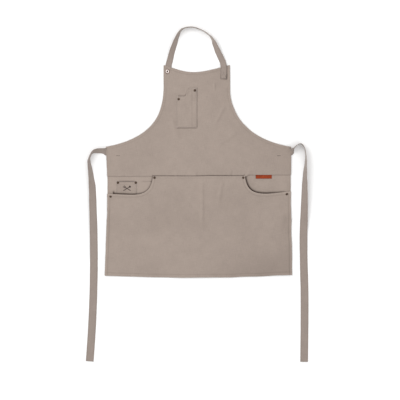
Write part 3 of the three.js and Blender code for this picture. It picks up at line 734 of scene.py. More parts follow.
def add_stage():
    world = bpy.data.worlds.new("studio")
    world.use_nodes = True
    world.node_tree.nodes["Background"].inputs[0].default_value = (1.0, 1.0, 1.0, 1.0)
    world.node_tree.nodes["Background"].inputs[1].default_value = 1.0
    bpy.context.scene.world = world
    add_area("key", (-1.9, 1.7, 2.6), (0.15, -0.2, 0), 1.9, 44)
    add_area("fill", (1.6, -1.8, 2.6), (0.1, -0.3, 0), 2.4, 10)
    p = [(-6, -6, 0), (6, -6, 0), (6, 6, 0), (-6, 6, 0)]
    mesh = bpy.data.meshes.new("floor")
    mesh.from_pydata(p, [], [(0, 1, 2, 3)])
    floor = bpy.data.objects.new("floor", mesh)
    bpy.context.scene.collection.objects.link(floor)
    m = Nodes("floor_paper")
    place = m.add("ShaderNodeTexCoord").outputs["Object"]
    m.colour(m.ramp(m.noise(place, 3.0), (0.3, (0.90, 0.90, 0.90)), (0.7, (0.915, 0.915, 0.915))))
    m.shader.inputs["Roughness"].default_value = 0.9
    m.shader.inputs["Specular IOR Level"].default_value = 0.1
    mesh.materials.append(m.material)


# ---------------------------------------------------------------- panels
def bib_wear_and_shade(x, y):
    d = np.minimum(nearest(x, y, ARMHOLES), neck_y(x) - y)
    # Paler worn edges; painted shade in the groove at the stitching 10 mm in.
    edge = 0.10 * bell(d, 2.5) - 0.12 * bell(d - 10, 1.3)
    # Painted shadow line on the bib just above the skirt's lapped edge, with uneven random tone along it.
    lap = y - skirt_top(x)
    middle = (x > -SCOOP[-1]) & (x < SCOOP[1])
    seam = -0.95 * bell(np.maximum(lap - 0.8, 0), 2.1) * middle
    seam = seam - 0.10 * bell(y - 3, 4) * noise(x, y, 14, 61)
    # Painted shadow lines round the pen pocket's top, right side and bottom.
    gap = y - pen_top(x) - 0.6
    pen = -0.95 * bell(np.maximum(gap, 0), 2.2) * (x > PEN[0] + 4) * (x < PEN[0] + 36)
    beside = -0.70 * bell(np.maximum(x - PEN[1] - 0.4, 0), 1.8) * (y > PEN[2]) * (y < PEN[3])
    below = -0.65 * bell(np.maximum(PEN[2] - y - 0.4, 0), 1.8) * (x > PEN[0]) * (x < PEN[1])
    outline = pen * (y > pen_top(x)) + beside * (x > PEN[1]) + below * (y < PEN[2])
    seam = seam + np.where(y > PEN[2] - 8, outline, 0)
    cloud = 0.06 * noise(x, y, 90, 62)
    # Painted shade and painted light on the two sides of each pucker and crease.
    pucker = 0.0
    for at, tall in ((-90, 26), (-16, 22), (119, 30), (194, 34)):
        pucker = pucker + crease(x, y, (at + 8, -6), (at + 9, 0.8 * tall), 2.6, -0.16)
        pucker = pucker + crease(x, y, (at, -6), (at + 1, tall), 2.6, 0.10)
    for a, b, width, depth in (((64, 368), (67, 332), 3, 0.16), ((112, 282), (62, 190), 5, 0.10),
                               ((165, 178), (66, 108), 7, 0.07), ((-104, 248), (-64, 122), 8, 0.06)):
        pucker = pucker + crease(x, y, a, b, width, -depth)
        pucker = pucker + crease(x, y, (a[0] - 2 * width, a[1]), (b[0] - 2 * width, b[1]), width, depth)
    # Painted shadow beside the sewn strap end, to its right and below it.
    patch = -0.7 * bell(np.maximum(x - 110.6, 0), 1.8) * (x > 98) * ease(378, 382, y)
    foot = -0.7 * bell(np.maximum(380.6 - y, 0), 1.8) * (y < 400) * ease(84, 87, x)
    foot = foot * (1 - ease(111, 113, x))
    return edge + seam + cloud + pucker + patch * (y > 380) + foot * (y > 372)


def make_bib():
    marks = walk(ARMHOLES[1][::-1], 6.0)[:, 1]
    upper = steps(BIB_TOP - BIB_STRAIGHT, BIB_TOP - MARGIN, 5.5)[1:-1]
    rows = [steps(MARGIN, SHOULDER[1], 5.5)[1:-1], marks, upper]
    cols = np.linspace(0, 1, 118)[1:-1]
    obj = panel("bib_cloth", bib_z, bib_side(-1), bib_side(1), bib_bottom, neck_y, np.concatenate(rows), cols,
                0, BIB_TOP, 95, (False,) * 4, PLY, ["neckline_facing_cloth", "floor"], bib_wear_and_shade)
    across_fold(obj, CANVAS, ("bib_panel", "bib_lower_panel"))


def skirt_wear_and_shade(x, y):
    hem = y - skirt_bottom(x)
    mouth = nearest(x, y, SCOOPS)
    top = skirt_top(x) - y
    side = from_sides(x, y)
    # Pale pocket-mouth edge, partly worn edge and partly painted highlight; painted shade in the groove at
    # the stitching 9 mm in.
    w = 0.42 * bell(mouth, 4.0) - 0.14 * bell(mouth - 9, 1.6)
    # Paler worn top, hem and side edges; painted shade in the grooves along their stitching.
    w = w + 0.12 * bell(top, 2.0) - 0.10 * bell(top - 3, 1.6)
    w = w + 0.10 * bell(hem, 2.2) - 0.14 * bell(hem - 11.5, 1.4)
    w = w + 0.12 * bell(side - 4, 3.0) - 0.24 * bell(side - 10, 2.0)
    w = w + 0.07 * noise(x, y, 24, 71) * bell(hem, 10) + 0.07 * noise(x, y, 90, 72)
    # A darker patch near the right side, over its creases.
    w = w - 0.10 * bell(x - 338, 14) * bell(y + 172, 30)
    # Painted shade on one side of the two long creases and painted light on the other.
    w = w + crease(x, y, (19, 10), (21, -215), 3.5, -0.12) + crease(x, y, (101, -6), (81, -112), 3.5, -0.10)
    w = w + crease(x, y, (8, 10), (10, -215), 4.5, 0.10) + crease(x, y, (90, -6), (70, -112), 4.5, 0.08)
    # Painted shade, darker towards the lower right, away from the key light.
    return w - 0.12 * ease(-60, -330, y) * ease(0, 300, x)


def make_skirt():
    low, high = HEM[1], 0.0
    rows = steps(low + MARGIN, high - MARGIN, 6.0)[1:-1]
    x0, x1 = -WAIST_X[-1] + MARGIN, WAIST_X[1] - MARGIN
    spans = ((0, 170, 6.5), (170, 204, 2.0), (204, 250, 4.0), (250, x1, 6.5))
    half = np.concatenate([steps(*span)[:-1] for span in spans] + [[x1]])
    cols = (np.concatenate([-half[-2:0:-1], half[:-1]]) - x0) / (x1 - x0)
    obj = panel("skirt_cloth", skirt_z, skirt_side(-1), skirt_side(1), skirt_bottom, skirt_top, rows, cols,
                low, high, 230, (True, True, True, False), PLY, ["bib_cloth", "floor"], skirt_wear_and_shade)
    finish(obj, CANVAS, "skirt", ("skirt_panel",))


# ---------------------------------------------------------------- facings, pockets and bags
def flat_edge(value):
    return lambda v: np.full_like(np.asarray(v, float), value)


def facing_shade_and_tone(x, y):
    mouth = nearest(x, y, SCOOPS)
    # Painted shadow inside each pocket mouth, darker where it gapes.
    open_here = 0.30 + 0.70 * np.clip(gape(x, y, 400) / 4.0, 0, 1)
    ends = ease(-336, -331, x) * (1 - ease(330, 342, x))
    w = -1.0 * open_here * ends * np.exp(-((mouth / (4.5 + 2.5 * open_here)) ** 4))
    # Painted shadow just below the bib's edge.
    w = w - 0.50 * bell(np.maximum(bib_bottom(x) - y - 0.2, 0), 1.6)
    # Painted shadow just above the coin pocket's top edge.
    over = np.maximum(y - COIN[3] - 0.3, 0)
    w = w - bell(over, 3.0) * (y > COIN[3]) * ease(-311, -307, x) * (1 - ease(-251, -246, x))
    # Painted shade of a crease along y = -19.5 and at the left mouth's end.
    pleat = (1 - ease(0.6, 2.6, np.abs(y + 19.5))) * ease(-230, -215, x) * (1 - ease(-184, -180, x))
    corner = bell(x + 331, 3.5) * bell(y + 62, 7)
    # Random tone, and the left facing painted 0.15 paler, as more lit.
    return w - 0.55 * pleat - 0.8 * corner + 0.08 * noise(x, y, 40, 81) + 0.15 * (x < 0)


def make_facing(side, name):
    mouth = SCOOP_RISE[side] - SCOOP_DEPTH[side]
    top = 15.0 if side > 0 else 9.0

    def outer(y):
        tuck = 1.2 + 11 * (1 - ease(mouth - 6, mouth + 1, y))
        return side * (WAIST_X[side] - tuck + 0.5 * noise(y, side * 70.0, 19, 42))

    edges = (flat_edge(side * FACING[0]), outer)[::side]
    rows = steps(FACING[1] + MARGIN, top - MARGIN, 3.0)[1:-1]
    obj = panel(f"{name}_facing_cloth", facing_z, *edges, flat_edge(FACING[1]), flat_edge(top), rows,
                np.linspace(0, 1, 60)[1:-1], FACING[1], top, 60, (False,) * 4, PLY,
                [f"{name}_bag_back_cloth", "floor"], facing_shade_and_tone)
    finish(obj, CANVAS, "skirt", (f"{name}_pocket_facing",))


COIN = (-319.5, -240.5, -73.5, -20.5)


def coin_z(x, y):
    x0, x1, _, top = COIN
    slack = 0.9 * bell(x - (x0 + x1) / 2, 26) * bell(y - top, 9)
    d = np.minimum(np.minimum(x - x0, x1 - x), top - y)
    return facing_z(x, y) + 1.35 + slack + 1.2 * ease(0, 3, d) * 0.35 + 0.15 * noise(x, y, 11, 91)


def coin_wear_and_shade(x, y):
    x0, x1, _, top = COIN
    d = np.minimum(x - x0, x1 - x)
    mouth = away(x, y, SCOOPS[-1])
    # Paler worn edges and turned top; painted shade in the grooves at their stitching.
    w = 0.10 * bell(d, 1.5) - 0.08 * bell(d - 3, 1.5)
    w = w + 0.25 * bell(top - y - 5, 2.0) - 0.10 * bell(top - y - 9, 1.3)
    # Painted shadow along the pocket's top and inside the scoop's mouth.
    w = w - 1.0 * bell(top - y, 1.6) * ease(-311, -307, x) * (1 - ease(-251, -246, x))
    return w - 1.0 * np.exp(-((mouth / 6.0) ** 4)) + 0.05 * noise(x, y, 20, 92)


def make_coin_pocket():
    x0, x1, low, top = COIN
    obj = panel("coin_pocket_cloth", coin_z, flat_edge(x0), flat_edge(x1), flat_edge(low), flat_edge(top),
                steps(low + MARGIN, top - MARGIN, 2.5)[1:-1], np.linspace(0, 1, 22)[1:-1], low, top, 20,
                (True, True, False, True), 0.7, ["left_facing_cloth"], coin_wear_and_shade, under=0.75)
    finish(obj, CANVAS, "skirt", ("coin_pocket",))


PEN = (-84.0, -6.5, 190.0, 344.0)
PEN_LOW = 311.0


def pen_top(x):
    return PEN_LOW + (PEN[3] - PEN_LOW) * ease(PEN[0] + 29, PEN[0] + 51, x)


def pen_z(x, y):
    x0, x1, low, _ = PEN
    d = np.minimum(np.minimum(x - x0, x1 - x), np.minimum(y - low, pen_top(x) - y))
    tube = 0.5 * bell(x + 15, 7) + 0.4 * bell(x + 54, 20)
    mouth = bell(pen_top(x) - y, 16) * ease(0, 8, np.minimum(x - x0, x1 - x))
    divider = -0.3 * bell(x + 26, 1.6)
    return bib_z(x, y) + 1.5 + tube * 0.6 * ease(0, 10, d) + 0.9 * mouth + divider


def pen_wear_and_shade(x, y):
    x0, x1, low, _ = PEN
    d = np.minimum(np.minimum(x - x0, x1 - x), y - low)
    top = pen_top(x) - y
    # Paler worn edges and top; painted shade in the grooves at the stitching and the divider.
    w = 0.10 * bell(d, 1.5) - 0.10 * bell(d - 3, 1.3)
    w = w + 0.16 * bell(top, 1.8) - 0.09 * bell(top - 11, 1.3)
    return w - 0.09 * bell(x + 26, 1.5) + 0.05 * noise(x, y, 22, 93)


def make_pen_pocket():
    x0, x1, low, high = PEN
    cols = np.linspace(0, 1, 34)[1:-1]
    obj = panel("pen_pocket_cloth", pen_z, flat_edge(x0), flat_edge(x1), flat_edge(low), pen_top,
                steps(low + MARGIN, high - MARGIN, 4.0)[1:-1], cols, low, high, 110,
                (True, True, True, True), 0.75, ["bib_cloth"], pen_wear_and_shade, under=0.8)
    finish(obj, CANVAS, "bib", ("pen_pocket",))


def bag_bottom(side):
    middle, reach = (BAG[0] + BAG[1]) / 2, (BAG[1] - BAG[0]) / 2 - BAG_CORNER

    def edge(x):
        t = np.clip((np.abs(side * np.asarray(x, float) - middle) - reach) / BAG_CORNER, 0, 1)
        return BAG[2] + BAG_CORNER * (1 - np.sqrt(1 - 0.96 * t * t))

    return edge


def make_bag(side, name):
    edges = (flat_edge(side * BAG[0]), flat_edge(side * BAG[1]))[::side]
    back = (flat_edge(-34.0), lambda x, y: 0.55 + 0.25 * (lie(x, y) - 0.2), ["floor"])
    front = (lambda x: np.minimum(skirt_top(x) - 9, -30.0), lambda x, y: skirt_z(x, y) - 1.4,
             [f"{name}_bag_back_cloth"])
    for ply, (top, level, rests_on) in (("back", back), ("front", front)):
        obj = panel(f"{name}_bag_{ply}_cloth", level, *edges, bag_bottom(side), top,
                    steps(BAG[2] + MARGIN, -30 - MARGIN, 6.0)[1:-1], np.linspace(0, 1, 34)[1:-1],
                    BAG[2], -30, 90, (False,) * 4, THIN, rests_on)
        finish(obj, LINING, "skirt", (f"{name}_pocket_bag_{ply}",))


def make_binding():
    """Four plies of seam allowance and the strip of lining that binds them."""
    x, y = np.meshgrid(np.linspace(-153, 153, 90), (-7.0, -6.3, -4.5, -1.5, 1.5, 4.5, 6.3, 7.0))
    p = np.stack([x, y, bib_z(x, y) - 1.75 + 0.25 * np.cos(y / 7 * math.pi)], 2)
    obj = cloth("waist_binding_cloth", p, 1.6)
    finish(obj, LINING, "skirt", ("waist_binding",))


def make_neck_facing():
    obj = panel("neckline_facing_cloth", lambda x, y: bib_z(x, y) - 0.9, flat_edge(BIB_X[0] + 1),
                flat_edge(BIB_X[1] - 1), lambda x: neck_y(x) - NECK_FACING, lambda x: neck_y(x) - 0.8,
                [], np.linspace(0, 1, 44)[1:-1], BIB_TOP - NECK_FACING, BIB_TOP, 1e5, (False,) * 4, THIN,
                ["neck_strap_cloth", "floor"])
    finish(obj, LINING, "bib", ("neckline_facing",))


def make_armhole_tape(side, name):
    arm = ARMHOLES[side]
    start = np.array([[arm[0][0], BIB_TOP - NECK_FACING - 6]])
    line = walk(np.concatenate([start, arm[:108]]), 5.0)
    p = np.stack([offset(line, side * d) for d in (-1.0, -3.5, -6.0, -8.5, -11.3)][::-side], 0)
    p = np.concatenate([p, bib_z(p[..., 0], p[..., 1])[..., None] - 0.9], 2)
    obj = cloth(f"{name}_armhole_tape_cloth", p, THIN)
    across_fold(obj, LINING, (f"{name}_armhole_tape", f"{name}_armhole_tape_end"))


# ---------------------------------------------------------------- straps
def smooth_route(route, pitch):
    """A route of [x, y, tilt, height above what it lies on] on a smooth curve, with even points."""
    r = np.array(route, float)
    chord = np.concatenate([[0], np.cumsum(np.hypot(*np.diff(r[:, :2], axis=0).T) ** 0.5)])
    fine = []
    for i in range(len(r) - 1):
        a, b, c, d = r[max(i - 1, 0)], r[i], r[i + 1], r[min(i + 2, len(r) - 1)]
        t0, t1, t2, t3 = chord[max(i - 1, 0)], chord[i], chord[i + 1], chord[min(i + 2, len(r) - 1)]
        h = t2 - t1
        m1 = (c - a) / max(t2 - t0, 1e-6) * h
        m2 = (d - b) / max(t3 - t1, 1e-6) * h
        for t in np.linspace(0, 1, 12, endpoint=False):
            f = (2 * t**3 - 3 * t**2 + 1) * b + (t**3 - 2 * t**2 + t) * m1
            f = f + (-2 * t**3 + 3 * t**2) * c + (t**3 - t**2) * m2
            f[2:] = b[2:] + (c[2:] - b[2:]) * (t * t * (3 - 2 * t))
            fine.append(f)
    fine.append(r[-1])
    fine = np.array(fine)
    at = np.concatenate([[0], np.cumsum(np.hypot(*np.diff(fine[:, :2], axis=0).T))])
    s = np.linspace(0, at[-1], int(at[-1] / pitch) + 1)
    return np.stack([np.interp(s, at, fine[:, k]) for k in range(fine.shape[1])], 1), s


class Ribbon:
    """A woven band along a route, tilted about its length and resting on its lower edge."""

    def __init__(self, route, width, pitch=3.0, seed=0):
        self.route, self.s = smooth_route(route, pitch)
        self.width = width + 0.35 * noise(self.s, 0, 30, seed + 5)
        tilt = np.radians(self.route[:, 2])
        self.along = np.gradient(self.route[:, :2], axis=0)
        self.along /= np.linalg.norm(self.along, axis=1, keepdims=True)
        left = np.column_stack([-self.along[:, 1], self.along[:, 0], np.zeros(len(self.s))])
        self.across = left * np.cos(tilt)[:, None] + UP * np.sin(tilt)[:, None]
        self.face = -left * np.sin(tilt)[:, None] + UP * np.cos(tilt)[:, None]
        rest = (self.width * np.abs(np.sin(tilt)) + WEBBING * np.abs(np.cos(tilt))) / 2
        wave = 0.5 * np.maximum(noise(self.s, 3, 60, seed), 0) * np.cos(tilt) ** 2
        self.middle = np.column_stack([self.route[:, :2], self.route[:, 3] + rest + wave])

    def at(self, i, a, b):
        return self.middle[i] + self.across[i] * a + self.face[i] * b

    def mesh(self, name):
        half = WEBBING / 2
        share = np.array([-1, -0.985, -0.93, -0.82, -0.74, -0.45, 0, 0.45, 0.74, 0.82, 0.93, 0.985, 1])
        thick = np.array([0.25, 0.72, 1, 0.86, 1, 1.02, 1.05, 1.02, 1, 0.86, 1, 0.72, 0.25])
        ring = [(a, t) for a, t in zip(share, thick)] + [(a, -t) for a, t in zip(share[::-1], thick[::-1])]
        n, k = len(self.s), len(ring)
        points, uvs, wear = [], [], []
        for i in range(n):
            fuzz = 0.08 * float(noise(self.s[i], 9.0, 5, 7))
            for a, t in ring:
                points.append(self.at(i, a * self.width[i] / 2, t * half + fuzz * (abs(a) < 0.9)))
                uvs.append((self.s[i], a * self.width[i] / 2))
                # Paler worn edges, and a painted shade line in the groove by each stitch row.
                wear.append(0.18 * (abs(a) > 0.95) - 0.14 * (0.8 < abs(a) < 0.84))
        faces = []
        for i in range(n - 1):
            for j in range(k):
                m = (j + 1) % k
                faces.append([i * k + j, i * k + m, (i + 1) * k + m, (i + 1) * k + j])
        faces.append(list(range(k))[::-1])
        faces.append([(n - 1) * k + j for j in range(k)])
        return mesh_object(name, points, faces, uvs, wear)

    def nearest(self, s):
        last = len(self.s) - 1
        return min(int(round(s / self.s[-1] * last)), last)

    def stitch_mesh(self, name, end, inset=3.2, pitch=3.6):
        """Stitching along both edges and across the band at end, on both faces."""
        work, total = Sewing(), self.s[-1]
        count = int(total / pitch)
        for face in (1, -1):
            for edge in (-1, 1):
                for c in range(count):
                    s0, s1 = (c + 0.14) * total / count, (c + 0.86) * total / count
                    i, j = self.nearest(s0), self.nearest(s1)
                    a = self.point(s0, edge * (self.width[i] / 2 - inset), face * WEBBING * 0.52)
                    b = self.point(s1, edge * (self.width[j] / 2 - inset), face * WEBBING * 0.52)
                    work.sew(a, b, self.across[i], self.face[i] * face)
            i = self.nearest(end)
            span = self.width[i] - 2 * inset
            for c in range(int(span / pitch)):
                start = -span / 2 + (c + 0.14) * pitch
                a = self.point(end, start, face * WEBBING * 0.55)
                b = self.point(end, start + 0.72 * pitch, face * WEBBING * 0.55)
                work.sew(a, b, np.array([*self.along[i], 0.0]), self.face[i] * face)
        return work.mesh(name)

    def point(self, s, a, b):
        f = np.clip(s / self.s[-1] * (len(self.s) - 1), 0, len(self.s) - 1.001)
        i, t = int(f), f - int(f)
        return self.at(i, a, b) * (1 - t) + self.at(i + 1, a, b) * t


def over_bib(x, y):
    return height_at(bib_z, x, y) + 0.6


def under_bib(x, y):
    return height_at(bib_z, x, y) - 2.75


def neck_route():
    """From the buttoned end, behind the bib, round the loop to the sewn end on the bib's front."""
    left, span, top = BUTTON[0] + 4, BIB_X[1] - 24.5 - BUTTON[0], BIB_TOP
    loop = [(0.026, 18, 13), (0.062, 50, 28), (0.111, 82, 40), (0.163, 112, 60), (0.218, 134, 78)]
    loop += [(0.295, 144, 88), (0.395, 147.5, 90), (0.493, 144, 90), (0.613, 133, 90), (0.714, 118, 87)]
    loop += [(0.777, 103, 74), (0.826, 80, 46), (0.885, 50, 26), (0.943, 24, 13)]
    route = [(x, y, 0, under_bib(x, y)) for x, y in ((-124, 391), (-120.5, 410), (-117, 430))]
    route += [(-114.5, 441, 4, 0.6)]
    route += [(left + u * span, top + h, tilt, 0.1) for u, h, tilt in loop]
    route += [(94.8, 446, 8, 1.0), (97.2, 435, 2, over_bib(97, 429) - 0.3)]
    return route + [(x, y, 0, over_bib(x, y)) for x, y in ((98.0, 424), (98.0, 402), (98.0, 381))]


# Each point is [x, y, tilt, height above the surface].
LEFT_TIE = [
    (-307, 95.5, 0, 1.9), (-335, 95.5, 0, 1.9), (-352, 95.8, 2, 1.7), (-358, 96.5, 6, 1.2),
    (-363, 97.5, 24, 0.3), (-368, 98.5, 43, 0.1), (-377, 99.5, 50, 0.1), (-390, 99.5, 53, 0.1),
    (-402, 98, 60, 0.1), (-411.5, 94, 74, 0.1), (-418.5, 86, 84, 0.1), (-423.5, 74, 82, 0.1),
    (-426, 57, 71, 0.1), (-421.5, 28, 60, 0.1), (-418, -1, 50, 0.1), (-413.5, -46, 30, 0.1),
    (-411.5, -110, 22, 0.1), (-408.5, -230, 10, 0.1), (-408, -357, 0, 0.1), (-410.5, -482, 0, 0.1),
    (-416.5, -610, 0, 0.1), (-424, -721, 0, 0.1),
]
RIGHT_TIE = [
    (307, 95.5, 0, 1.9), (335, 95.5, 0, 1.9), (352, 95.6, 1, 1.7), (358, 96.2, 4, 1.2), (362, 98.5, 26, 0.3),
    (366, 102.5, 60, 0.1), (371.5, 109.5, 82, 0.1), (379, 118, 88, 0.1), (386.5, 124.5, 90, 0.1),
    (394, 127.5, 90, 0.1), (402, 125.5, 90, 0.1), (409, 118, 90, 0.1), (414, 107, 90, 0.1),
    (416.5, 92, 90, 0.1), (418, 74, 86, 0.1), (417.5, 54, 79, 0.1), (414.5, 7, 63, 0.1),
    (413.5, -40, 48, 0.1), (413, -87, 38, 0.1), (412, -133, 28, 0.1), (411, -180, 12, 0.1),
    (409.5, -230, 4, 0.1), (410.5, -330, 0, 0.1), (413.5, -451, 0, 0.1), (413.5, -580, 0, 0.1),
    (412, -723, 0, 0.1),
]


def make_strap(name, route, width, seed, replaced):
    """A strap and its stitching, hiding the parts they replace."""
    ribbon = Ribbon(route, width, seed=seed)
    band, seams = ribbon.mesh(f"{name}_cloth"), ribbon.stitch_mesh(f"{name}_topstitch", 3.5)
    finish(band, STRAP, None, replaced)
    finish(seams, THREAD, None)
    for obj in (band, seams):
        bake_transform(obj)


def make_straps():
    nodes = ("neck_strap_loop", "neck_strap_button_end", "neck_strap_sewn_end")
    make_strap("neck_strap", neck_route(), 24,
               3, nodes)
    for name, side, route, length in (("left_tie", -1, LEFT_TIE, 926), ("right_tie", 1, RIGHT_TIE, 961)):
        route = [(x, y, side * tilt, level) for x, y, tilt, level in route]
        make_strap(name, route, 30,
                   20 + side, (name, f"{name}_sewn_end"))


# ---------------------------------------------------------------- label, emblem and metal
LABEL = (223.5, 285.5, -8.2, 6.0)


def label_z(x, y):
    x0, x1, low, _ = LABEL
    curl = 0.5 * bell(y - low, 3) + 0.35 * bell(x - x0, 5)
    return facing_z(x, y) + 1.3 + curl


def label_edges_and_shade(x, y):
    x0, x1, low, high = LABEL
    d = np.minimum(np.minimum(x - x0, x1 - x), np.minimum(y - low, high - y))
    # Darker pulled edges, and painted shade under the bib's edge along the top.
    return -0.5 * bell(d, 0.9) - 0.55 * bell(high - y, 3.5)


def make_label():
    x0, x1, low, high = LABEL
    radius = 1.3
    xs = [steps(x0, x0 + 2, 0.4), steps(x0 + 2, x1 - 2, 1.6), steps(x1 - 2, x1, 0.4)]
    ys = [steps(0, 0.12, 0.04), steps(0.12, 0.88, 0.1), steps(0.88, 1, 0.04)]
    xs, ys = np.unique(np.concatenate(xs)), np.unique(np.concatenate(ys))
    x = np.repeat(xs[None, :], len(ys), 0)
    into_corner = np.clip((radius - np.minimum(x - x0, x1 - x)) / radius, 0, 1)
    bottom = low + radius * (1 - np.sqrt(np.clip(1 - into_corner**2, 0, 1)))
    y = bottom + ys[:, None] * (high - bottom)
    obj = cloth("seam_label_leather", np.stack([x, y, label_z(x, y)], 2), 0.9, label_edges_and_shade(x, y))
    finish(obj, LEATHER, None, ("seam_label",))
    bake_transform(obj)


def make_emblem():
    """A plain crossed fork and spoon, embroidered on the coin pocket."""
    cx, cy = -278.5, -46.0
    strokes = []
    for side in (-1, 1):
        tail, head = np.array((cx + side * 14.0, cy - 9.5)), np.array((cx - side * 7.5, cy + 3.5))
        strokes.append((tail, head, 4.2))
        d = (head - tail) / np.linalg.norm(head - tail)
        n = np.array((-d[1], d[0]))
        if side > 0:
            strokes.append((head + d * 0.6 - n * 4.2, head + d * 0.6 + n * 4.2, 3.4))
            strokes += [(head + n * k * 3.3, head + n * k * 3.3 + d * 8.0, 2.6) for k in (-1, 0, 1)]
        else:
            strokes += [(head + d * a + n * b, head + d * (9.0 - a) + n * b, 3.2)
                        for a, b in ((2.2, -3.0), (0.8, -1.5), (0.2, 0), (0.8, 1.5), (2.2, 3.0))]
    work = Sewing(1.15)
    for a, b, width in strokes:
        count = max(1, int(np.linalg.norm(b - a) / 1.0))
        d = (b - a) / np.linalg.norm(b - a)
        n = np.array((-d[1], d[0])) * width / 2
        for i in range(count):
            m = a + (b - a) * (i + 0.5) / count
            ends = [np.array((*q, height_at(coin_z, *q) + 0.42)) for q in (m - n, m + n)]
            work.sew(*ends, np.array((*d, 0.0)), UP)
    finish(work.mesh("coin_pocket_embroidery"), MARK, "skirt")


def make_rivets():
    cap = [(0, 0.1), (4.3, 0.1), (4.75, 0.0), (4.9, 0.35), (4.7, 0.8), (4.1, 1.0), (3.7, 0.92), (3.4, 1.05),
           (2.9, 1.55), (2.0, 1.9), (1.1, 2.02), (0.7, 1.75), (0.35, 1.6), (0, 1.58)]
    back = [(0, -0.45), (2.2, -0.5), (3.6, -0.45), (4.2, -0.2), (4.2, 0.0), (3.9, 0.05), (1.2, 0.05),
            (1.2, 1.2), (0, 1.2)]
    kinds = {"scoop": (skirt_z, 0.25, facing_z, "skirt"), "coin": (coin_z, 0.15, facing_z, "skirt"),
             "pen": (pen_z, 0.15, bib_z, "bib")}
    for name, (x, y, kind) in RIVETS.items():
        top, lift, below, body = kinds[kind]
        dome = lathe(f"{name}_rivet_cap_domed", cap, 40, (x, y, height_at(top, x, y) + lift))
        finish(dome, COPPER, body, (f"{name}_rivet_cap",))
        burr = lathe(f"{name}_rivet_back_burr", back, 32, (x, y, height_at(below, x, y) - 0.55))
        finish(burr, COPPER, body, (f"{name}_rivet_back",))


def make_button():
    x, y = BUTTON
    at = (x, y, over_bib(x, y) - 0.05)
    rim = [(0, -2.4), (2.9, -2.4), (3.1, 0.35), (7.4, 0.2), (8.1, 0.45), (8.5, 1.1), (8.55, 1.6), (8.3, 2.2),
           (7.7, 2.5), (7.0, 2.5), (6.75, 2.2), (6.6, 1.2), (0, 1.2)]
    finish(lathe("neck_button_rim", rim, 64, at), ROSE, "neck_button", ("neck_button_cap",))
    ring = [(3.4, 1.1), (6.55, 1.1), (6.6, 2.0), (6.45, 2.4), (6.0, 2.75), (5.4, 2.95), (4.8, 2.92),
            (4.1, 2.65), (3.7, 2.2), (3.4, 1.6), (3.4, 1.1)]
    finish(turned_ring("neck_button_ring", ring, 64, at), NICKEL, "neck_button")
    centre = [(0, 1.22), (3.35, 1.22), (3.2, 1.35), (1.9, 1.4), (1.5, 1.6), (0.7, 1.75), (0, 1.8)]
    finish(lathe("neck_button_centre", centre, 32, at), COPPER, "neck_button")
    beads = Sewing(0.7, 0.35)
    for i in range(8):
        a = i * math.pi / 4
        out = np.array((math.cos(a), math.sin(a), 0.0))
        start = np.array(at) + UP * 2.5 + out * 7.2
        beads.sew(start, start + out * 0.9 - UP * 0.12, np.array((-out[1], out[0], 0)), UP)
    finish(beads.mesh("neck_button_beads"), ROSE, "neck_button")
    tack = [(0, -0.6), (2.5, -0.65), (3.8, -0.55), (4.2, -0.25), (4.2, 0), (1.2, 0.05), (1.2, 1.0), (0, 1.0)]
    flange = lathe("neck_button_tack_flange", tack, 32, (x, y, under_bib(x, y) - 0.05))
    finish(flange, COPPER, "bib", ("neck_button_tack",))


# ---------------------------------------------------------------- topstitching
def skirt_lines():
    lines = []
    for d in (2.6, 8.8):
        x = steps(-SCOOP[-1] + 4, SCOOP[1] - 4, 4)
        lines.append(np.stack([x, skirt_top(x) - d], 1))
        for side in (-1, 1):
            lines.append(offset(SCOOPS[side], -side * d)[2:-3])
    x = steps(-HEM[0] + 6, HEM[0] - 6, 4)
    lines.append(np.stack([x, skirt_bottom(x) + 11.5], 1))
    for side in (-1, 1):
        y = steps(-70, HEM[1] + 4, 4)
        lines.append(np.stack([skirt_side(side)(y) - side * 5.0, y], 1))
    return lines


def bib_lines():
    lines = []
    x = steps(BIB_X[0] + 3, BIB_X[1] - 3, 3)
    for d in (2.4, 10.0):
        for side in (-1, 1):
            arm = ARMHOLES[side]
            start = np.array([[arm[0][0], BIB_TOP - d]])
            lines.append(offset(walk(np.concatenate([start, arm]), 3.0), -side * d)[:-3])
        lines.append(np.stack([x, neck_y(x) - d], 1))
    for side in (-1, 1):
        x = side * steps(SCOOP[side] + 8, WAIST_X[side] - 3, 4)
        lines.append(np.stack([x, bib_bottom(x) + 2.6], 1))
        y = steps(6, SHOULDER[1] - 4, 4)
        lines.append(np.stack([bib_side(side)(y) - side * 4.0, y], 1))
    return lines


def pen_lines():
    x0, x1, low, high = PEN
    x = steps(x0 + 2.5, x1 - 2.5, 2)
    return [
        ((x0 + 2.5, PEN_LOW - 3), (x0 + 2.5, low + 2.5)),
        ((x0 + 2.5, low + 2.5), (x1 - 2.5, low + 2.5)),
        ((x1 - 2.5, low + 2.5), (x1 - 2.5, high - 3)),
        np.stack([x, pen_top(x) - 2.6], 1),
        np.stack([x, pen_top(x) - 11], 1),
        ((-26, low + 3), (-26, high - 3)),
        ((-22.8, low + 3), (-22.8, high - 3)),
    ]


def coin_lines():
    x0, x1, low, top = COIN
    sides = [((x, top - 2), (x, low + 3)) for x in (x0 + 2.5, x1 - 2.5)]
    return sides + [((x0 + 3, top - d), (x1 - 3, top - d)) for d in (2.6, 9)]


def facing_lines():
    lines = []
    for side in (-1, 1):
        y = steps(-4, -54, 4)
        lines.append(np.stack([np.full_like(y, side * (WAIST_X[side] - 5.5)), y], 1))
    return lines


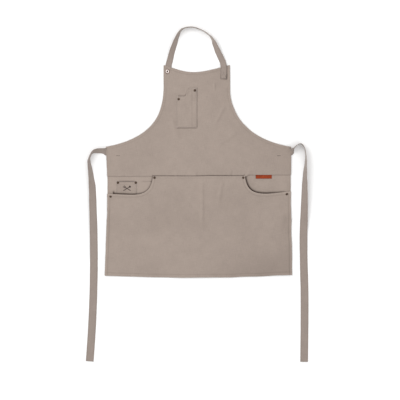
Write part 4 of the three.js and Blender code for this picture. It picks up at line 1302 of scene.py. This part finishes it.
def patch_box():
    """A square with its diagonals, where the strap is sewn to the bib."""
    a, b, c, d = (87.5, 383.5), (109.0, 383.5), (109.0, 423.5), (87.5, 423.5)
    return [(a, b), (b, c), (c, d), (d, a), (a, c), (d, b)]


def tack_bars():
    return [((side * 306, 80 + k), (side * 321, 80 + k)) for side in (-1, 1) for k in (0, 0.9, 1.8)]


def make_stitches():
    hem, edges = skirt_lines()[6:], bib_lines()[:6]
    hem_back, edge_back = (lambda x, y: skirt_z(x, y) - 1.2), (lambda x, y: bib_z(x, y) - 0.7)
    strap = lambda x, y: bib_z(x, y) + 0.6 + WEBBING * 0.5
    cloth_slot, strap_slot = "canvas_cloth", "strap_cloth"
    for work, colour, slot, body in (
        (stitches("skirt_topstitch", skirt_lines(), skirt_z), THREAD, cloth_slot, "skirt"),
        (stitches("skirt_hem_stitch_back", hem, hem_back, back=True), THREAD, cloth_slot, "skirt"),
        (stitches("bib_topstitch", bib_lines(), bib_z), THREAD, cloth_slot, None),
        (stitches("bib_stitch_back", edges, edge_back, back=True), THREAD, cloth_slot, None),
        (stitches("pen_pocket_topstitch", pen_lines(), pen_z, 0.75), THREAD, cloth_slot, "bib"),
        (stitches("coin_pocket_topstitch", coin_lines(), coin_z, 0.7), THREAD, cloth_slot, "skirt"),
        (stitches("facing_topstitch", facing_lines(), facing_z), THREAD, cloth_slot, "skirt"),
        (stitches("neck_strap_box_stitch", patch_box(), strap, WEBBING * 1.05, 2.8), MARK, strap_slot, "bib"),
        (stitches("tie_bar_tacks", tack_bars(), bib_z, PLY, 1.6, 0.8), MARK, cloth_slot, "skirt"),
    ):
        if body:
            finish(work, colour, body)
        else:
            across_fold(work, colour)


# ---------------------------------------------------------------- the apron
add_camera()
add_stage()
make_bib()
make_skirt()
for side, name in ((-1, "left"), (1, "right")):
    make_facing(side, name)
    make_bag(side, name)
    make_armhole_tape(side, name)
make_coin_pocket()
make_pen_pocket()
make_binding()
make_neck_facing()
make_straps()
make_label()
make_emblem()
make_rivets()
make_button()
make_stitches()

bpy.context.scene.view_settings.view_transform = "Standard"
bpy.context.view_layer.update()
